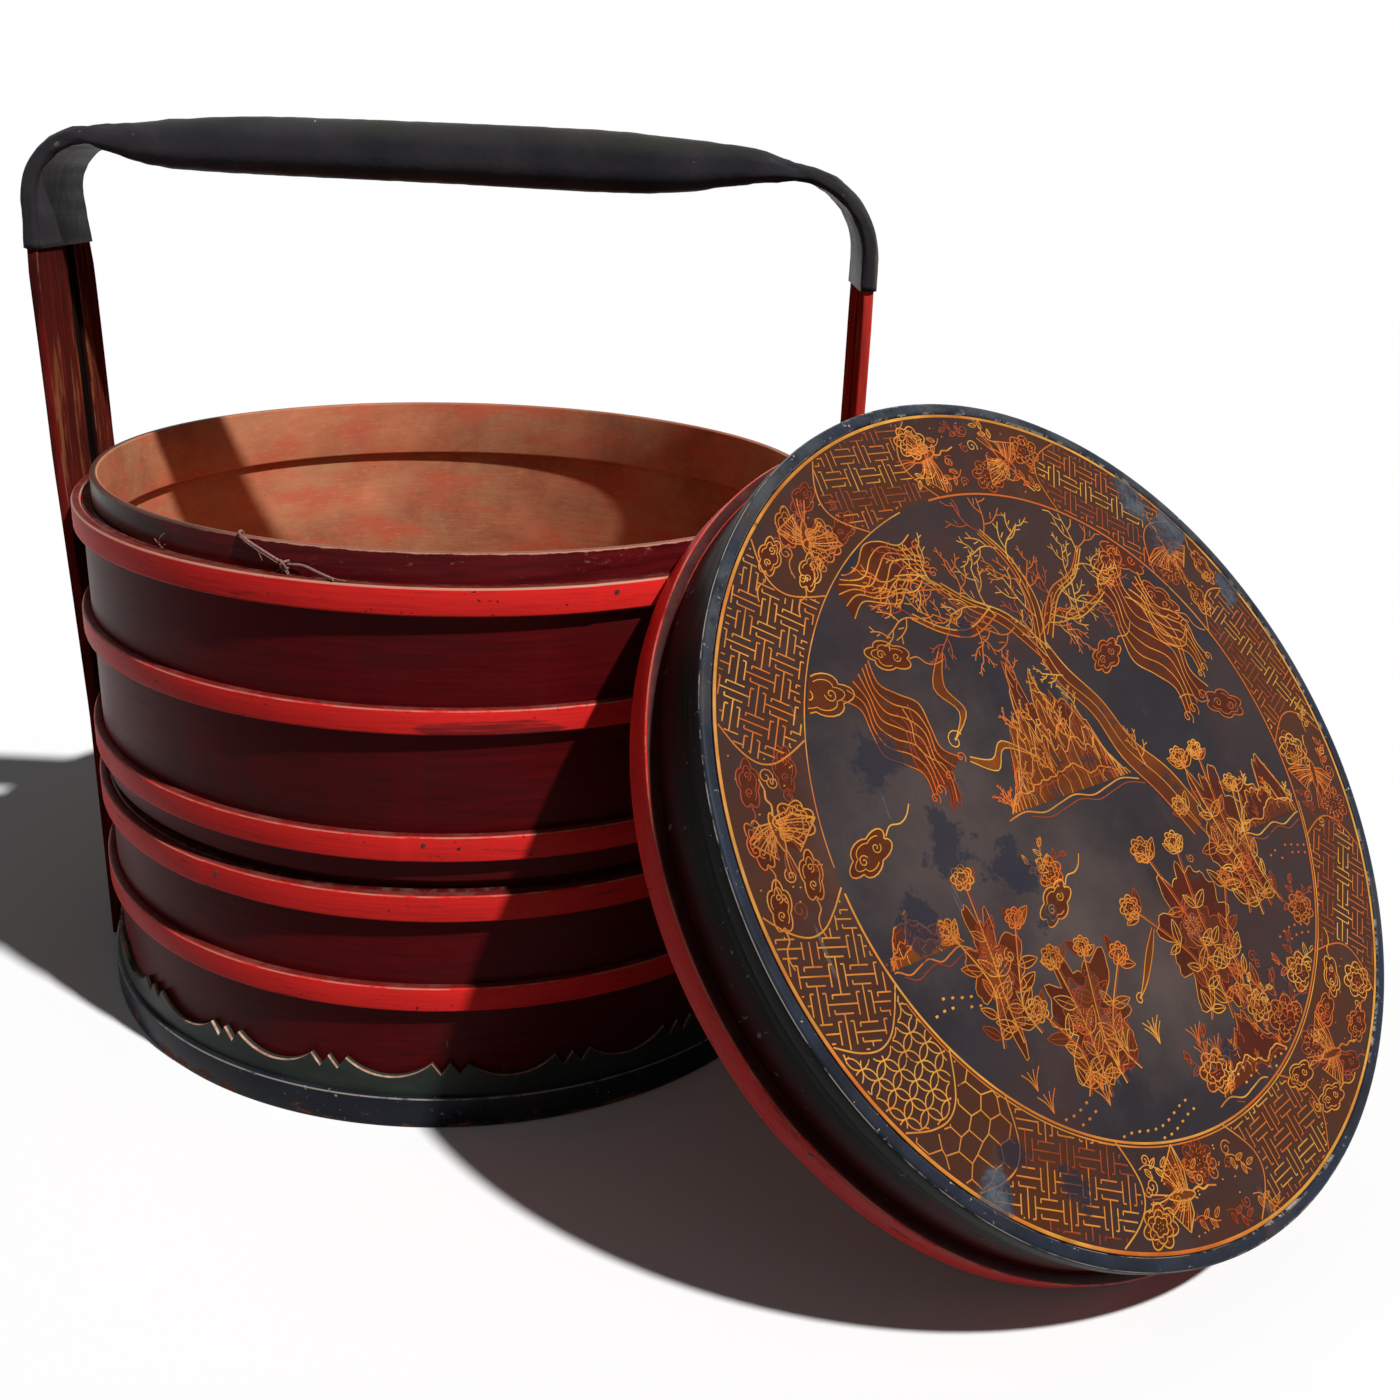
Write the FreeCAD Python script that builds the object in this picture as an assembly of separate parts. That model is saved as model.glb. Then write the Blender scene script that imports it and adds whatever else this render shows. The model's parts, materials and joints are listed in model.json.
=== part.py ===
import FreeCAD, Part
import os
from math import asin, cos, pi, radians, sin, sqrt, tan

# Round two-tier lacquered bamboo basket with a tall bail handle.
# Its lid is off and leans on the front right of the basket.
# Frame: +Z up, origin on the basket's axis at the floor, the viewer in front at -Y.
# Lengths are millimetres, angles are degrees.

# Driving sizes of the tiers
HOOP_RADIUS = 214.5
HOOP_THICKNESS = 5.0
WALL_THICKNESS = 5.0
COLLAR_THICKNESS = 4.1
COLLAR_CLEARANCE = 0.4
SEAT_GAP = 0.3
FLOOR_THICKNESS = 6.0
LEDGE_WIDTH = 8.5
PEG_RADIUS = 1.2
PEG_PROUD = 0.3
LAP_SLOT = 0.3
LAP_LENGTH = 38.0
CUT_OVERRUN = 4.0

# Lower tier, heights above the floor
FOOT_HEIGHT = 18.0
FOOT_THICKNESS = 6.5
FOOT_BEVEL = 1.6
APRON_HEIGHT = 19.0
APRON_THICKNESS = 3.5
APRON_COUNT = 21
SCALLOP_DEPTH = 9.0
TOOTH_DEPTH = 7.0
SCALLOP_SHARE = 0.70
TOOTH_SHARE = 0.15
APRON_TURN_ANGLE = 241.3
LOWER_WALL_BOTTOM = 3.0
LOWER_WALL_TOP = 135.0
LOWER_HOOP_HEIGHT = 15.0
SECOND_HOOP_BOTTOM = 69.0
SECOND_HOOP_HEIGHT = 14.0
LOWER_FLOOR_BOTTOM = 24.0
LEDGE_HEIGHT = 8.0
COLLAR_DEPTH = 21.0
LOWER_COLLAR_RISE = 13.0

# Upper tier, heights from its own lower edge
TIER_GAP = 5.0
UPPER_WALL_HEIGHT = 150.0
BOTTOM_HOOP_OFFSET = 13.0
BOTTOM_HOOP_HEIGHT = 14.0
MIDDLE_HOOP_OFFSET = 79.0
MIDDLE_HOOP_HEIGHT = 13.0
TOP_HOOP_HEIGHT = 14.0
TOP_HOOP_PROUD = 1.0
UPPER_COLLAR_RISE = 14.4

# Lid, measured from its open edge
LID_WALL_CLEARANCE = 1.4
LID_WALL_THICKNESS = 5.0
LID_DEPTH = 56.0
LID_HOOP_HEIGHT = 16.0
LID_HOOP_THICKNESS = 6.2
LID_SHOULDER_TOP = 46.0
LID_SHOULDER_HEIGHT = 5.5
LID_SHOULDER_PROUD = 1.6
LID_BEAD_PROUD = 3.1
LID_BEAD_INSET = 3.5
LID_PANEL_THICKNESS = 6.0
LID_PANEL_RECESS = 0.8
LID_GLUE_RING_WIDTH = 8.5
LID_GLUE_RING_HEIGHT = 6.0
LID_LAP_ANGLE = 205.0

# How the lid leans
LID_HEADING_ANGLE = 29.67
LID_SLOPE_ANGLE = 40.05
LID_FLOOR_GAP = 0.2
LID_TIER_GAP = 0.4
LID_SIDE_SHIFT = 126.4

# Handle, with u along the bail's span and v across its width
HANDLE_TURN_ANGLE = -8.8
LEG_WIDTH = 75.5
LEG_THICKNESS = 5.5
LEG_HOOP_GAP = 0.2
LEG_SPLAY = 4.8
LEG_BOTTOM = 1.5
LEG_STRAIGHT_TOP = 150.0
LEG_SPLAY_TOP = 300.0
HANDLE_TOP = 474.5
BEND_RADIUS_LEFT = 36.5
BEND_RADIUS_RIGHT = 44.5
TOP_WIDTH = 52.0
TAPER_DROP = 74.5
GROOVE_WIDTH = 12.5
GROOVE_TOP_WIDTH = 4.0
GROOVE_SKEW_ANGLE = 1.72
FILLER_RECESS = 2.2
FILLER_THICKNESS = 2.6

# Grip and its skin
SHEATH_THICKNESS = 1.2
SHEATH_CLEARANCE = 0.3
SHEATH_DROP = 60.5
GRIP_RISE = 11.0
GRIP_DROP = 10.5

# Nails of the handle and notches of the foot
NAIL_RADIUS = 1.6
NAIL_HEAD_RADIUS = 3.2
NAIL_HEAD_HEIGHT = 1.0
NAIL_INSET = 21.0
NAIL_BITE = 5.4
NOTCH_CLEARANCE = 0.4

# Loose tie cord
CORD_DIAMETER = 1.5
CORD_LIFT = 0.45
BEND_REACH_SHARE = 0.45

# Sizes that follow
WALL_RADIUS = HOOP_RADIUS - HOOP_THICKNESS
WALL_BORE = WALL_RADIUS - WALL_THICKNESS
COLLAR_RADIUS = WALL_BORE - COLLAR_CLEARANCE
FOOT_RADIUS = WALL_RADIUS + FOOT_THICKNESS
COLLAR_BORE = COLLAR_RADIUS - COLLAR_THICKNESS
APRON_TOP = FOOT_HEIGHT + APRON_HEIGHT
LOWER_COLLAR_TOP = LOWER_WALL_TOP + LOWER_COLLAR_RISE
UPPER_WALL_BOTTOM = LOWER_WALL_TOP + TIER_GAP
UPPER_WALL_TOP = UPPER_WALL_BOTTOM + UPPER_WALL_HEIGHT
TOP_HOOP_TOP = UPPER_WALL_TOP + TOP_HOOP_PROUD
RIM_TOP = UPPER_WALL_TOP + UPPER_COLLAR_RISE
LID_BORE = COLLAR_RADIUS + LID_WALL_CLEARANCE
LID_WALL_RADIUS = LID_BORE + LID_WALL_THICKNESS
LID_HOOP_RADIUS = LID_WALL_RADIUS + LID_HOOP_THICKNESS
LID_PANEL_RADIUS = LID_WALL_RADIUS - LID_BEAD_INSET
LID_BEAD_RADIUS = LID_WALL_RADIUS + LID_BEAD_PROUD
LEG_FACE = HOOP_RADIUS + LEG_HOOP_GAP
SPLAYED_FACE = LEG_FACE + LEG_SPLAY
SKIN = SHEATH_THICKNESS + SHEATH_CLEARANCE
TAPER_START = HANDLE_TOP - TAPER_DROP
SHEATH_BOTTOM = HANDLE_TOP - SHEATH_DROP
Z_AXIS = FreeCAD.Vector(0, 0, 1)
ORIGIN = FreeCAD.Vector(0, 0, 0)


def vec(x, y, z):
    return FreeCAD.Vector(x, y, z)


# General shapes

def ring(bore, radius, bottom, top):
    outer = Part.makeCylinder(radius, top - bottom, vec(0, 0, bottom))
    inner = Part.makeCylinder(bore, top - bottom + 2 * CUT_OVERRUN, vec(0, 0, bottom - CUT_OVERRUN))
    return outer.cut(inner)


def turned(points):
    corners = [vec(r, 0, z) for r, z in points]
    face = Part.Face(Part.makePolygon(corners + corners[:1]))
    return face.revolve(ORIGIN, Z_AXIS, 360)


def spun(shape, angle):
    copy = shape.copy()
    copy.rotate(ORIGIN, Z_AXIS, angle)
    return copy


def joined(shapes):
    return Part.makeCompound(shapes)


def save(node, shape):
    shape.exportStep("parts/" + node + ".step")
    bodies = len(shape.Solids)
    print(node, bodies, "solids", round(shape.Volume / 1000, 1), "cm3", "valid", shape.isValid())


# Hoops: a bent strip whose two ends lap along a slanted cut, held by two pegs

def lap_cut(bore, radius, bottom, top, azimuth):
    thickness = radius - bore
    slot = Part.makeBox(LAP_LENGTH + 2 * CUT_OVERRUN, LAP_SLOT, top - bottom + 2 * CUT_OVERRUN)
    slot.translate(vec(-LAP_LENGTH / 2 - CUT_OVERRUN, -LAP_SLOT / 2, bottom - CUT_OVERRUN))
    slot.rotate(ORIGIN, Z_AXIS, asin(thickness / LAP_LENGTH) * 180 / pi)
    slot.translate(vec(0, (bore + radius) / 2, 0))
    return spun(slot, azimuth - 90)


def peg_places(radius, bottom, top, azimuth):
    middle = (bottom + top) / 2
    lift = (top - bottom) / 6
    step = LAP_LENGTH / 5 / radius * 180 / pi
    return [(azimuth - step, middle - lift), (azimuth + step, middle + lift)]


def pegs(bore, radius, bottom, top, azimuth):
    shapes = []
    for turn, height in peg_places(radius, bottom, top, azimuth):
        peg = Part.makeCylinder(PEG_RADIUS, radius - bore + PEG_PROUD, vec(bore, 0, height), vec(1, 0, 0))
        shapes.append(spun(peg, turn))
    return shapes


def hoop(bore, radius, bottom, top, azimuth):
    band = ring(bore, radius, bottom, top).cut(lap_cut(bore, radius, bottom, top, azimuth))
    return band.cut(joined(pegs(bore, radius, bottom, top, azimuth)))


HOOPS = {
    "lower_second_hoop": (SECOND_HOOP_BOTTOM, SECOND_HOOP_BOTTOM + SECOND_HOOP_HEIGHT, 312.0),
    "lower_top_hoop": (LOWER_WALL_TOP - LOWER_HOOP_HEIGHT, LOWER_WALL_TOP, 232.0),
    "upper_bottom_hoop": (UPPER_WALL_BOTTOM + BOTTOM_HOOP_OFFSET,
                          UPPER_WALL_BOTTOM + BOTTOM_HOOP_OFFSET + BOTTOM_HOOP_HEIGHT, 262.0),
    "upper_middle_hoop": (UPPER_WALL_BOTTOM + MIDDLE_HOOP_OFFSET,
                          UPPER_WALL_BOTTOM + MIDDLE_HOOP_OFFSET + MIDDLE_HOOP_HEIGHT, 148.0),
    "upper_top_hoop": (TOP_HOOP_TOP - TOP_HOOP_HEIGHT, TOP_HOOP_TOP, 286.5),
}
NAILED_HOOPS = ("lower_second_hoop", "lower_top_hoop")


def tier_hoop(name):
    bottom, top, azimuth = HOOPS[name]
    return hoop(WALL_RADIUS, HOOP_RADIUS, bottom, top, azimuth)


def tier_pegs(names):
    shapes = []
    for name in names:
        bottom, top, azimuth = HOOPS[name]
        shapes += pegs(WALL_RADIUS, HOOP_RADIUS, bottom, top, azimuth)
    return joined(shapes)


# Tiers

def wall(bottom, top):
    return ring(WALL_BORE, WALL_RADIUS, bottom, top)


def floor_board(bottom):
    return Part.makeCylinder(WALL_BORE, FLOOR_THICKNESS, vec(0, 0, bottom))


def collar(tier_top, rise):
    bottom = tier_top - COLLAR_DEPTH
    top = tier_top + rise
    return turned([(COLLAR_BORE, bottom), (WALL_BORE, bottom), (WALL_BORE, tier_top - SEAT_GAP),
                   (COLLAR_RADIUS, tier_top), (COLLAR_RADIUS, top), (COLLAR_BORE, top)])


def floor_ledge(bottom, top):
    return ring(WALL_BORE - LEDGE_WIDTH, WALL_BORE, bottom, top)


def foot_band():
    band = turned([(WALL_RADIUS, 0), (FOOT_RADIUS, 0), (FOOT_RADIUS, FOOT_HEIGHT - FOOT_BEVEL),
                   (FOOT_RADIUS - FOOT_BEVEL, FOOT_HEIGHT), (WALL_RADIUS, FOOT_HEIGHT)])
    return band.cut(leg_notches())


def leg_notches():
    width = LEG_WIDTH + 2 * NOTCH_CLEARANCE
    height = FOOT_HEIGHT - LEG_BOTTOM + NOTCH_CLEARANCE + CUT_OVERRUN
    face = LEG_FACE - LEG_HOOP_GAP / 2
    tool = Part.makeBox(LEG_THICKNESS + CUT_OVERRUN, width, height)
    tool.translate(vec(face, -width / 2, LEG_BOTTOM - NOTCH_CLEARANCE))
    return joined([spun(tool, HANDLE_TURN_ANGLE), spun(tool, HANDLE_TURN_ANGLE + 180)])


# Apron: scallops with a pair of teeth between them

def scallop_tool(radius):
    pitch = 360 / APRON_COUNT
    half = radius * sin(radians(pitch * SCALLOP_SHARE / 2))
    curve = (half ** 2 + SCALLOP_DEPTH ** 2) / (2 * SCALLOP_DEPTH)
    height = APRON_TOP - SCALLOP_DEPTH + curve
    return Part.makeCylinder(curve, APRON_THICKNESS + 2 * CUT_OVERRUN,
                             vec(WALL_RADIUS - CUT_OVERRUN, 0, height), vec(1, 0, 0))


def tooth_tool(radius):
    half = radius * sin(radians(360 / APRON_COUNT * TOOTH_SHARE / 2))
    spread = half * (TOOTH_DEPTH + CUT_OVERRUN) / TOOTH_DEPTH
    start = WALL_RADIUS - CUT_OVERRUN
    corners = [vec(start, 0, APRON_TOP - TOOTH_DEPTH), vec(start, spread, APRON_TOP + CUT_OVERRUN),
               vec(start, -spread, APRON_TOP + CUT_OVERRUN)]
    face = Part.Face(Part.makePolygon(corners + corners[:1]))
    return face.extrude(vec(APRON_THICKNESS + 2 * CUT_OVERRUN, 0, 0))


def apron():
    radius = WALL_RADIUS + APRON_THICKNESS
    board = ring(WALL_RADIUS, radius, FOOT_HEIGHT, APRON_TOP)
    pitch = 360 / APRON_COUNT
    tools = []
    for index in range(APRON_COUNT):
        middle = APRON_TURN_ANGLE + pitch * index
        tools.append(spun(scallop_tool(radius), middle))
        for side in (-1, 1):
            tools.append(spun(tooth_tool(radius), middle + pitch / 2 + side * pitch * TOOTH_SHARE / 2))
    return board.cut(joined(tools))


# Handle: one ribbon in the u-z plane, tapered and slit in the v-z plane

def bend_centres():
    outer = SPLAYED_FACE + LEG_THICKNESS
    left = vec(BEND_RADIUS_LEFT - outer, 0, HANDLE_TOP - BEND_RADIUS_LEFT)
    right = vec(outer - BEND_RADIUS_RIGHT, 0, HANDLE_TOP - BEND_RADIUS_RIGHT)
    return left, right


def bail_edges(side, depth):
    centre = bend_centres()[(side + 1) // 2]
    radius = (BEND_RADIUS_LEFT, BEND_RADIUS_RIGHT)[(side + 1) // 2] - depth
    low = LEG_FACE + LEG_THICKNESS - depth
    high = SPLAYED_FACE + LEG_THICKNESS - depth
    places = [(low, LEG_BOTTOM), (low, LEG_STRAIGHT_TOP), (high, LEG_SPLAY_TOP), (high, centre.z)]
    return lines([vec(side * u, 0, z) for u, z in places]) + [bend(centre, radius, side)]


def ribbon_face():
    edges = []
    left, right = bend_centres()
    for depth in (0, LEG_THICKNESS):
        level = HANDLE_TOP - depth
        edges += bail_edges(-1, depth) + bail_edges(1, depth)
        edges += lines([vec(left.x, 0, level), vec(right.x, 0, level)])
    for side in (-1, 1):
        edges += lines([vec(side * LEG_FACE, 0, LEG_BOTTOM), vec(side * (LEG_FACE + LEG_THICKNESS), 0, LEG_BOTTOM)])
    return Part.Face(Part.Wire(Part.__sortEdges__(edges)))


def lines(points):
    return [Part.makeLine(a, b) for a, b in zip(points, points[1:])]


def bend(centre, radius, side):
    start = centre + vec(side * radius, 0, 0)
    middle = centre + vec(side * radius * sqrt(0.5), 0, radius * sqrt(0.5))
    return Part.Arc(start, middle, centre + vec(0, 0, radius)).toShape()


def across(face, width):
    solid = face.extrude(vec(0, width, 0))
    solid.translate(vec(0, -width / 2, 0))
    return solid


def narrowing_prism(low_half, high_half, bottom, top):
    slope = (low_half - high_half) / (HANDLE_TOP - TAPER_START)
    top_half = high_half - slope * (top - HANDLE_TOP)
    points = [(-low_half, bottom), (low_half, bottom), (low_half, TAPER_START), (top_half, top),
              (-top_half, top), (-low_half, TAPER_START)]
    reach = SPLAYED_FACE + LEG_THICKNESS + SKIN + 2 * CUT_OVERRUN
    corners = [vec(-reach, v, z) for v, z in points]
    face = Part.Face(Part.makePolygon(corners + corners[:1]))
    return face.extrude(vec(2 * reach, 0, 0))


def taper_prism(extra):
    top = HANDLE_TOP + GRIP_RISE + SKIN + CUT_OVERRUN
    return narrowing_prism(LEG_WIDTH / 2 + extra, TOP_WIDTH / 2 + extra, LEG_BOTTOM, top)


def groove_prism():
    bottom = LEG_BOTTOM - CUT_OVERRUN
    prism = narrowing_prism(GROOVE_WIDTH / 2, GROOVE_TOP_WIDTH / 2, bottom, HANDLE_TOP + CUT_OVERRUN)
    return spun(prism, -GROOVE_SKEW_ANGLE)


def placed_handle(shape):
    return spun(shape, HANDLE_TURN_ANGLE)


def handle_strips():
    ribbon = across(ribbon_face(), LEG_WIDTH).common(taper_prism(0))
    halves = ribbon.cut(groove_prism()).Solids
    front, rear = sorted(halves, key=lambda solid: solid.CenterOfMass.y)
    drills = joined(nail_shanks())
    return placed_handle(front).cut(drills), placed_handle(rear).cut(drills)


def handle_fillers():
    slips = [across(filler_face(side), LEG_WIDTH) for side in (-1, 1)]
    return [placed_handle(slip.common(groove_prism())) for slip in slips]


def filler_face(side):
    low = LEG_FACE + FILLER_RECESS
    high = SPLAYED_FACE + FILLER_RECESS
    points = [(low, LEG_BOTTOM), (low, LEG_STRAIGHT_TOP), (high, LEG_SPLAY_TOP), (high, SHEATH_BOTTOM),
              (high + FILLER_THICKNESS, SHEATH_BOTTOM), (high + FILLER_THICKNESS, LEG_SPLAY_TOP),
              (low + FILLER_THICKNESS, LEG_STRAIGHT_TOP), (low + FILLER_THICKNESS, LEG_BOTTOM)]
    corners = [vec(side * u, 0, z) for u, z in points]
    return Part.Face(Part.makePolygon(corners + corners[:1]))


# Grip: outlines as shares of the way between the bends and of the swell

TOP_SPAN_SHARES = (0.017, 0.136, 0.25, 0.42, 0.62, 0.73, 0.79, 0.90, 0.965)
TOP_RISE_SHARES = (0.10, 0.56, 0.82, 0.93, 1.00, 1.00, 0.92, 0.68, 0.40)
UNDER_SPAN_SHARES = (0.985, 0.95, 0.89, 0.85, 0.76, 0.49, 0.136, 0.075, 0.02)
UNDER_DROP_SHARES = (0.06, 0.22, 0.52, 0.78, 1.00, 1.00, 1.00, 0.80, 0.28)
CORE_SPAN_SHARES = (0.025, 0.955)


def span_place(share):
    left, right = bend_centres()
    return left.x + (right.x - left.x) * share


def grip_top_points():
    return [vec(span_place(u), 0, HANDLE_TOP + GRIP_RISE * z) for u, z in zip(TOP_SPAN_SHARES, TOP_RISE_SHARES)]


def grip_under_points():
    level = HANDLE_TOP - LEG_THICKNESS
    return [vec(span_place(u), 0, level - GRIP_DROP * z)
            for u, z in zip(UNDER_SPAN_SHARES, UNDER_DROP_SHARES)]


def smooth(points):
    curve = Part.BSplineCurve()
    curve.interpolate(points)
    return curve.toShape()


def grip_cores():
    block = across(sheath_face(0), LEG_WIDTH).common(taper_prism(0)).cut(across(ribbon_face(), LEG_WIDTH))
    start = span_place(CORE_SPAN_SHARES[0])
    end = span_place(CORE_SPAN_SHARES[1])
    window = Part.makeBox(end - start, LEG_WIDTH, 2 * (GRIP_RISE + GRIP_DROP) + LEG_THICKNESS)
    window.translate(vec(start, -LEG_WIDTH / 2, HANDLE_TOP - LEG_THICKNESS - 2 * GRIP_DROP))
    lower, upper = sorted(block.common(window).Solids, key=lambda solid: solid.CenterOfMass.z)
    return placed_handle(lower), placed_handle(upper)


def sheath_face(inset):
    outer = SPLAYED_FACE + LEG_THICKNESS + inset
    inner = SPLAYED_FACE - inset
    left_centre, right_centre = bend_centres()
    top = [point + vec(0, 0, inset) for point in grip_top_points()]
    under = [point - vec(0, 0, inset) for point in grip_under_points()]
    left_top = left_centre + vec(0, 0, BEND_RADIUS_LEFT + inset)
    right_top = right_centre + vec(0, 0, BEND_RADIUS_RIGHT + inset)
    inner_left = BEND_RADIUS_LEFT - LEG_THICKNESS - inset
    inner_right = BEND_RADIUS_RIGHT - LEG_THICKNESS - inset
    edges = lines([vec(-outer, 0, SHEATH_BOTTOM), vec(-outer, 0, left_centre.z)])
    edges.append(bend(left_centre, BEND_RADIUS_LEFT + inset, -1))
    edges.append(smooth([left_top] + top + [right_top]))
    edges.append(bend(right_centre, BEND_RADIUS_RIGHT + inset, 1))
    edges += lines([vec(outer, 0, right_centre.z), vec(outer, 0, SHEATH_BOTTOM), vec(inner, 0, SHEATH_BOTTOM),
                    vec(inner, 0, right_centre.z)])
    edges.append(bend(right_centre, inner_right, 1))
    edges.append(smooth([right_centre + vec(0, 0, inner_right)] + under + [left_centre + vec(0, 0, inner_left)]))
    edges.append(bend(left_centre, inner_left, -1))
    edges += lines([vec(-inner, 0, left_centre.z), vec(-inner, 0, SHEATH_BOTTOM), vec(-outer, 0, SHEATH_BOTTOM)])
    return Part.Face(Part.Wire(Part.__sortEdges__(edges)))


def grip_sheath():
    width = LEG_WIDTH + 2 * SKIN
    skin = across(sheath_face(SKIN), width).common(taper_prism(SKIN))
    void = across(sheath_face(SHEATH_CLEARANCE), width).common(taper_prism(SHEATH_CLEARANCE))
    return placed_handle(skin.cut(void))


def nail_places():
    places = []
    for name in NAILED_HOOPS:
        bottom, top, _ = HOOPS[name]
        for side in (0, 180):
            for v in (-NAIL_INSET, NAIL_INSET):
                places.append((side, v, (bottom + top) / 2))
    return places


def nail_shanks():
    shanks = []
    for side, v, z in nail_places():
        start = vec(LEG_FACE - NAIL_BITE, v, z)
        shank = Part.makeCylinder(NAIL_RADIUS, NAIL_BITE + LEG_THICKNESS, start, vec(1, 0, 0))
        shanks.append(spun(shank, HANDLE_TURN_ANGLE + side))
    return shanks


def handle_nails():
    start = LEG_FACE + LEG_THICKNESS
    heads = []
    for side, v, z in nail_places():
        head = Part.makeCylinder(NAIL_HEAD_RADIUS, NAIL_HEAD_HEIGHT, vec(start, v, z), vec(1, 0, 0))
        heads.append(spun(head, HANDLE_TURN_ANGLE + side))
    return joined([shank.fuse(head) for shank, head in zip(nail_shanks(), heads)])


# Lid: turned pieces about the Z axis, then leaned as one

def lid_wall():
    return ring(LID_BORE, LID_WALL_RADIUS, 0, LID_SHOULDER_TOP)


def lid_hoop():
    return hoop(LID_WALL_RADIUS, LID_HOOP_RADIUS, 0, LID_HOOP_HEIGHT, LID_LAP_ANGLE)


def lid_pegs():
    return joined(pegs(LID_WALL_RADIUS, LID_HOOP_RADIUS, 0, LID_HOOP_HEIGHT, LID_LAP_ANGLE))


def lid_shoulder():
    radius = LID_WALL_RADIUS + LID_SHOULDER_PROUD
    return ring(LID_WALL_RADIUS, radius, LID_SHOULDER_TOP - LID_SHOULDER_HEIGHT, LID_SHOULDER_TOP)


def lid_edge_ring():
    bore = LID_PANEL_RADIUS
    height = LID_DEPTH - LID_SHOULDER_TOP
    middle = LID_SHOULDER_TOP + height / 2
    foot = vec(bore, 0, LID_SHOULDER_TOP)
    low = vec(LID_WALL_RADIUS, 0, LID_SHOULDER_TOP)
    high = vec(LID_WALL_RADIUS, 0, LID_DEPTH)
    crown = vec(bore, 0, LID_DEPTH)
    edges = lines([foot, low])
    edges.append(Part.Arc(low, vec(LID_BEAD_RADIUS, 0, middle), high).toShape())
    edges += lines([high, crown, foot])
    return Part.Face(Part.Wire(edges)).revolve(ORIGIN, Z_AXIS, 360)


def lid_panel():
    bottom = LID_DEPTH - LID_PANEL_RECESS - LID_PANEL_THICKNESS
    return Part.makeCylinder(LID_PANEL_RADIUS, LID_PANEL_THICKNESS, vec(0, 0, bottom))


def lid_inner_ring():
    top = LID_DEPTH - LID_PANEL_RECESS - LID_PANEL_THICKNESS
    return ring(LID_BORE - LID_GLUE_RING_WIDTH, LID_BORE, top - LID_GLUE_RING_HEIGHT, top)


def lid_open_centre():
    rise = LID_HOOP_RADIUS * cos(radians(LID_SLOPE_ANGLE)) + LID_FLOOR_GAP
    hoop_edge = HOOP_RADIUS * cos(radians(LID_SLOPE_ANGLE)) + TOP_HOOP_TOP * sin(radians(LID_SLOPE_ANGLE))
    rim_edge = COLLAR_RADIUS * cos(radians(LID_SLOPE_ANGLE)) + RIM_TOP * sin(radians(LID_SLOPE_ANGLE))
    reach = max(hoop_edge, rim_edge) + LID_TIER_GAP - rise * sin(radians(LID_SLOPE_ANGLE))
    distance = reach / cos(radians(LID_SLOPE_ANGLE))
    heading = radians(LID_HEADING_ANGLE)
    x = distance * sin(heading) + LID_SIDE_SHIFT * cos(heading)
    y = -distance * cos(heading) + LID_SIDE_SHIFT * sin(heading)
    return vec(x, y, rise)


def leaned(shape):
    copy = shape.copy()
    copy.rotate(ORIGIN, vec(1, 0, 0), 90 - LID_SLOPE_ANGLE)
    copy.rotate(ORIGIN, Z_AXIS, LID_HEADING_ANGLE)
    copy.translate(lid_open_centre())
    return copy


# Tie cord: a route of hand-placed points as azimuth, distance out from the collar and height over the rim

def cord_points():
    out = CORD_DIAMETER / 2 + CORD_LIFT
    inside = COLLAR_BORE - COLLAR_RADIUS - out
    places = [(239.4, inside, -9.0), (239.6, inside, 2.2), (239.9, out, 2.2), (241.2, out, -5.2),
              (243.8, out, -7.4), (246.3, out, -10.9), (248.9, out + 0.6, -9.2), (251.2, out + 3.0, -11.6),
              (253.8, out + 8.6, -12.2)]
    points = []
    for azimuth, offset, height in places:
        radius = COLLAR_RADIUS + offset
        points.append(vec(radius * cos(radians(azimuth)), radius * sin(radians(azimuth)), RIM_TOP + height))
    return points


def tube(points, diameter):
    edges = []
    last = points[0]
    for before, corner, after in zip(points, points[1:], points[2:]):
        back = before - corner
        ahead = after - corner
        turn = pi - back.getAngle(ahead)
        reach = BEND_REACH_SHARE * min(back.Length, ahead.Length)
        radius = reach / tan(turn / 2)
        print("cord bend radius", round(radius, 2), "mm, turn", round(turn * 180 / pi, 1))
        back.normalize()
        ahead.normalize()
        start = corner + back * reach
        end = corner + ahead * reach
        inward = (back + ahead).normalize()
        middle = corner + inward * (radius / cos(turn / 2) - radius)
        edges.append(Part.LineSegment(last, start).toShape())
        edges.append(Part.Arc(start, middle, end).toShape())
        last = end
    edges.append(Part.LineSegment(last, points[-1]).toShape())
    route = Part.Wire(edges)
    section = Part.Wire(Part.makeCircle(diameter / 2, points[0], points[1] - points[0]))
    solid = route.makePipeShell([section], True, False)
    print("cord length", round(route.Length, 2), "mm, volume", round(solid.Volume, 2),
          "mm3, section times length", round(pi * diameter ** 2 / 4 * route.Length, 2), "mm3")
    return solid


def tie_cord():
    return tube(cord_points(), CORD_DIAMETER)


def build_lower_tier():
    save("lower_wall", wall(LOWER_WALL_BOTTOM, LOWER_WALL_TOP))
    save("lower_floor", floor_board(LOWER_FLOOR_BOTTOM))
    save("lower_floor_ledge", floor_ledge(LOWER_FLOOR_BOTTOM - LEDGE_HEIGHT, LOWER_FLOOR_BOTTOM))
    save("lower_collar", collar(LOWER_WALL_TOP, LOWER_COLLAR_RISE))
    drills = joined(nail_shanks())
    for name in NAILED_HOOPS:
        save(name, tier_hoop(name).cut(drills))
    save("lower_pegs", tier_pegs(NAILED_HOOPS))
    save("apron", apron())
    save("foot_band", foot_band())


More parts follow.
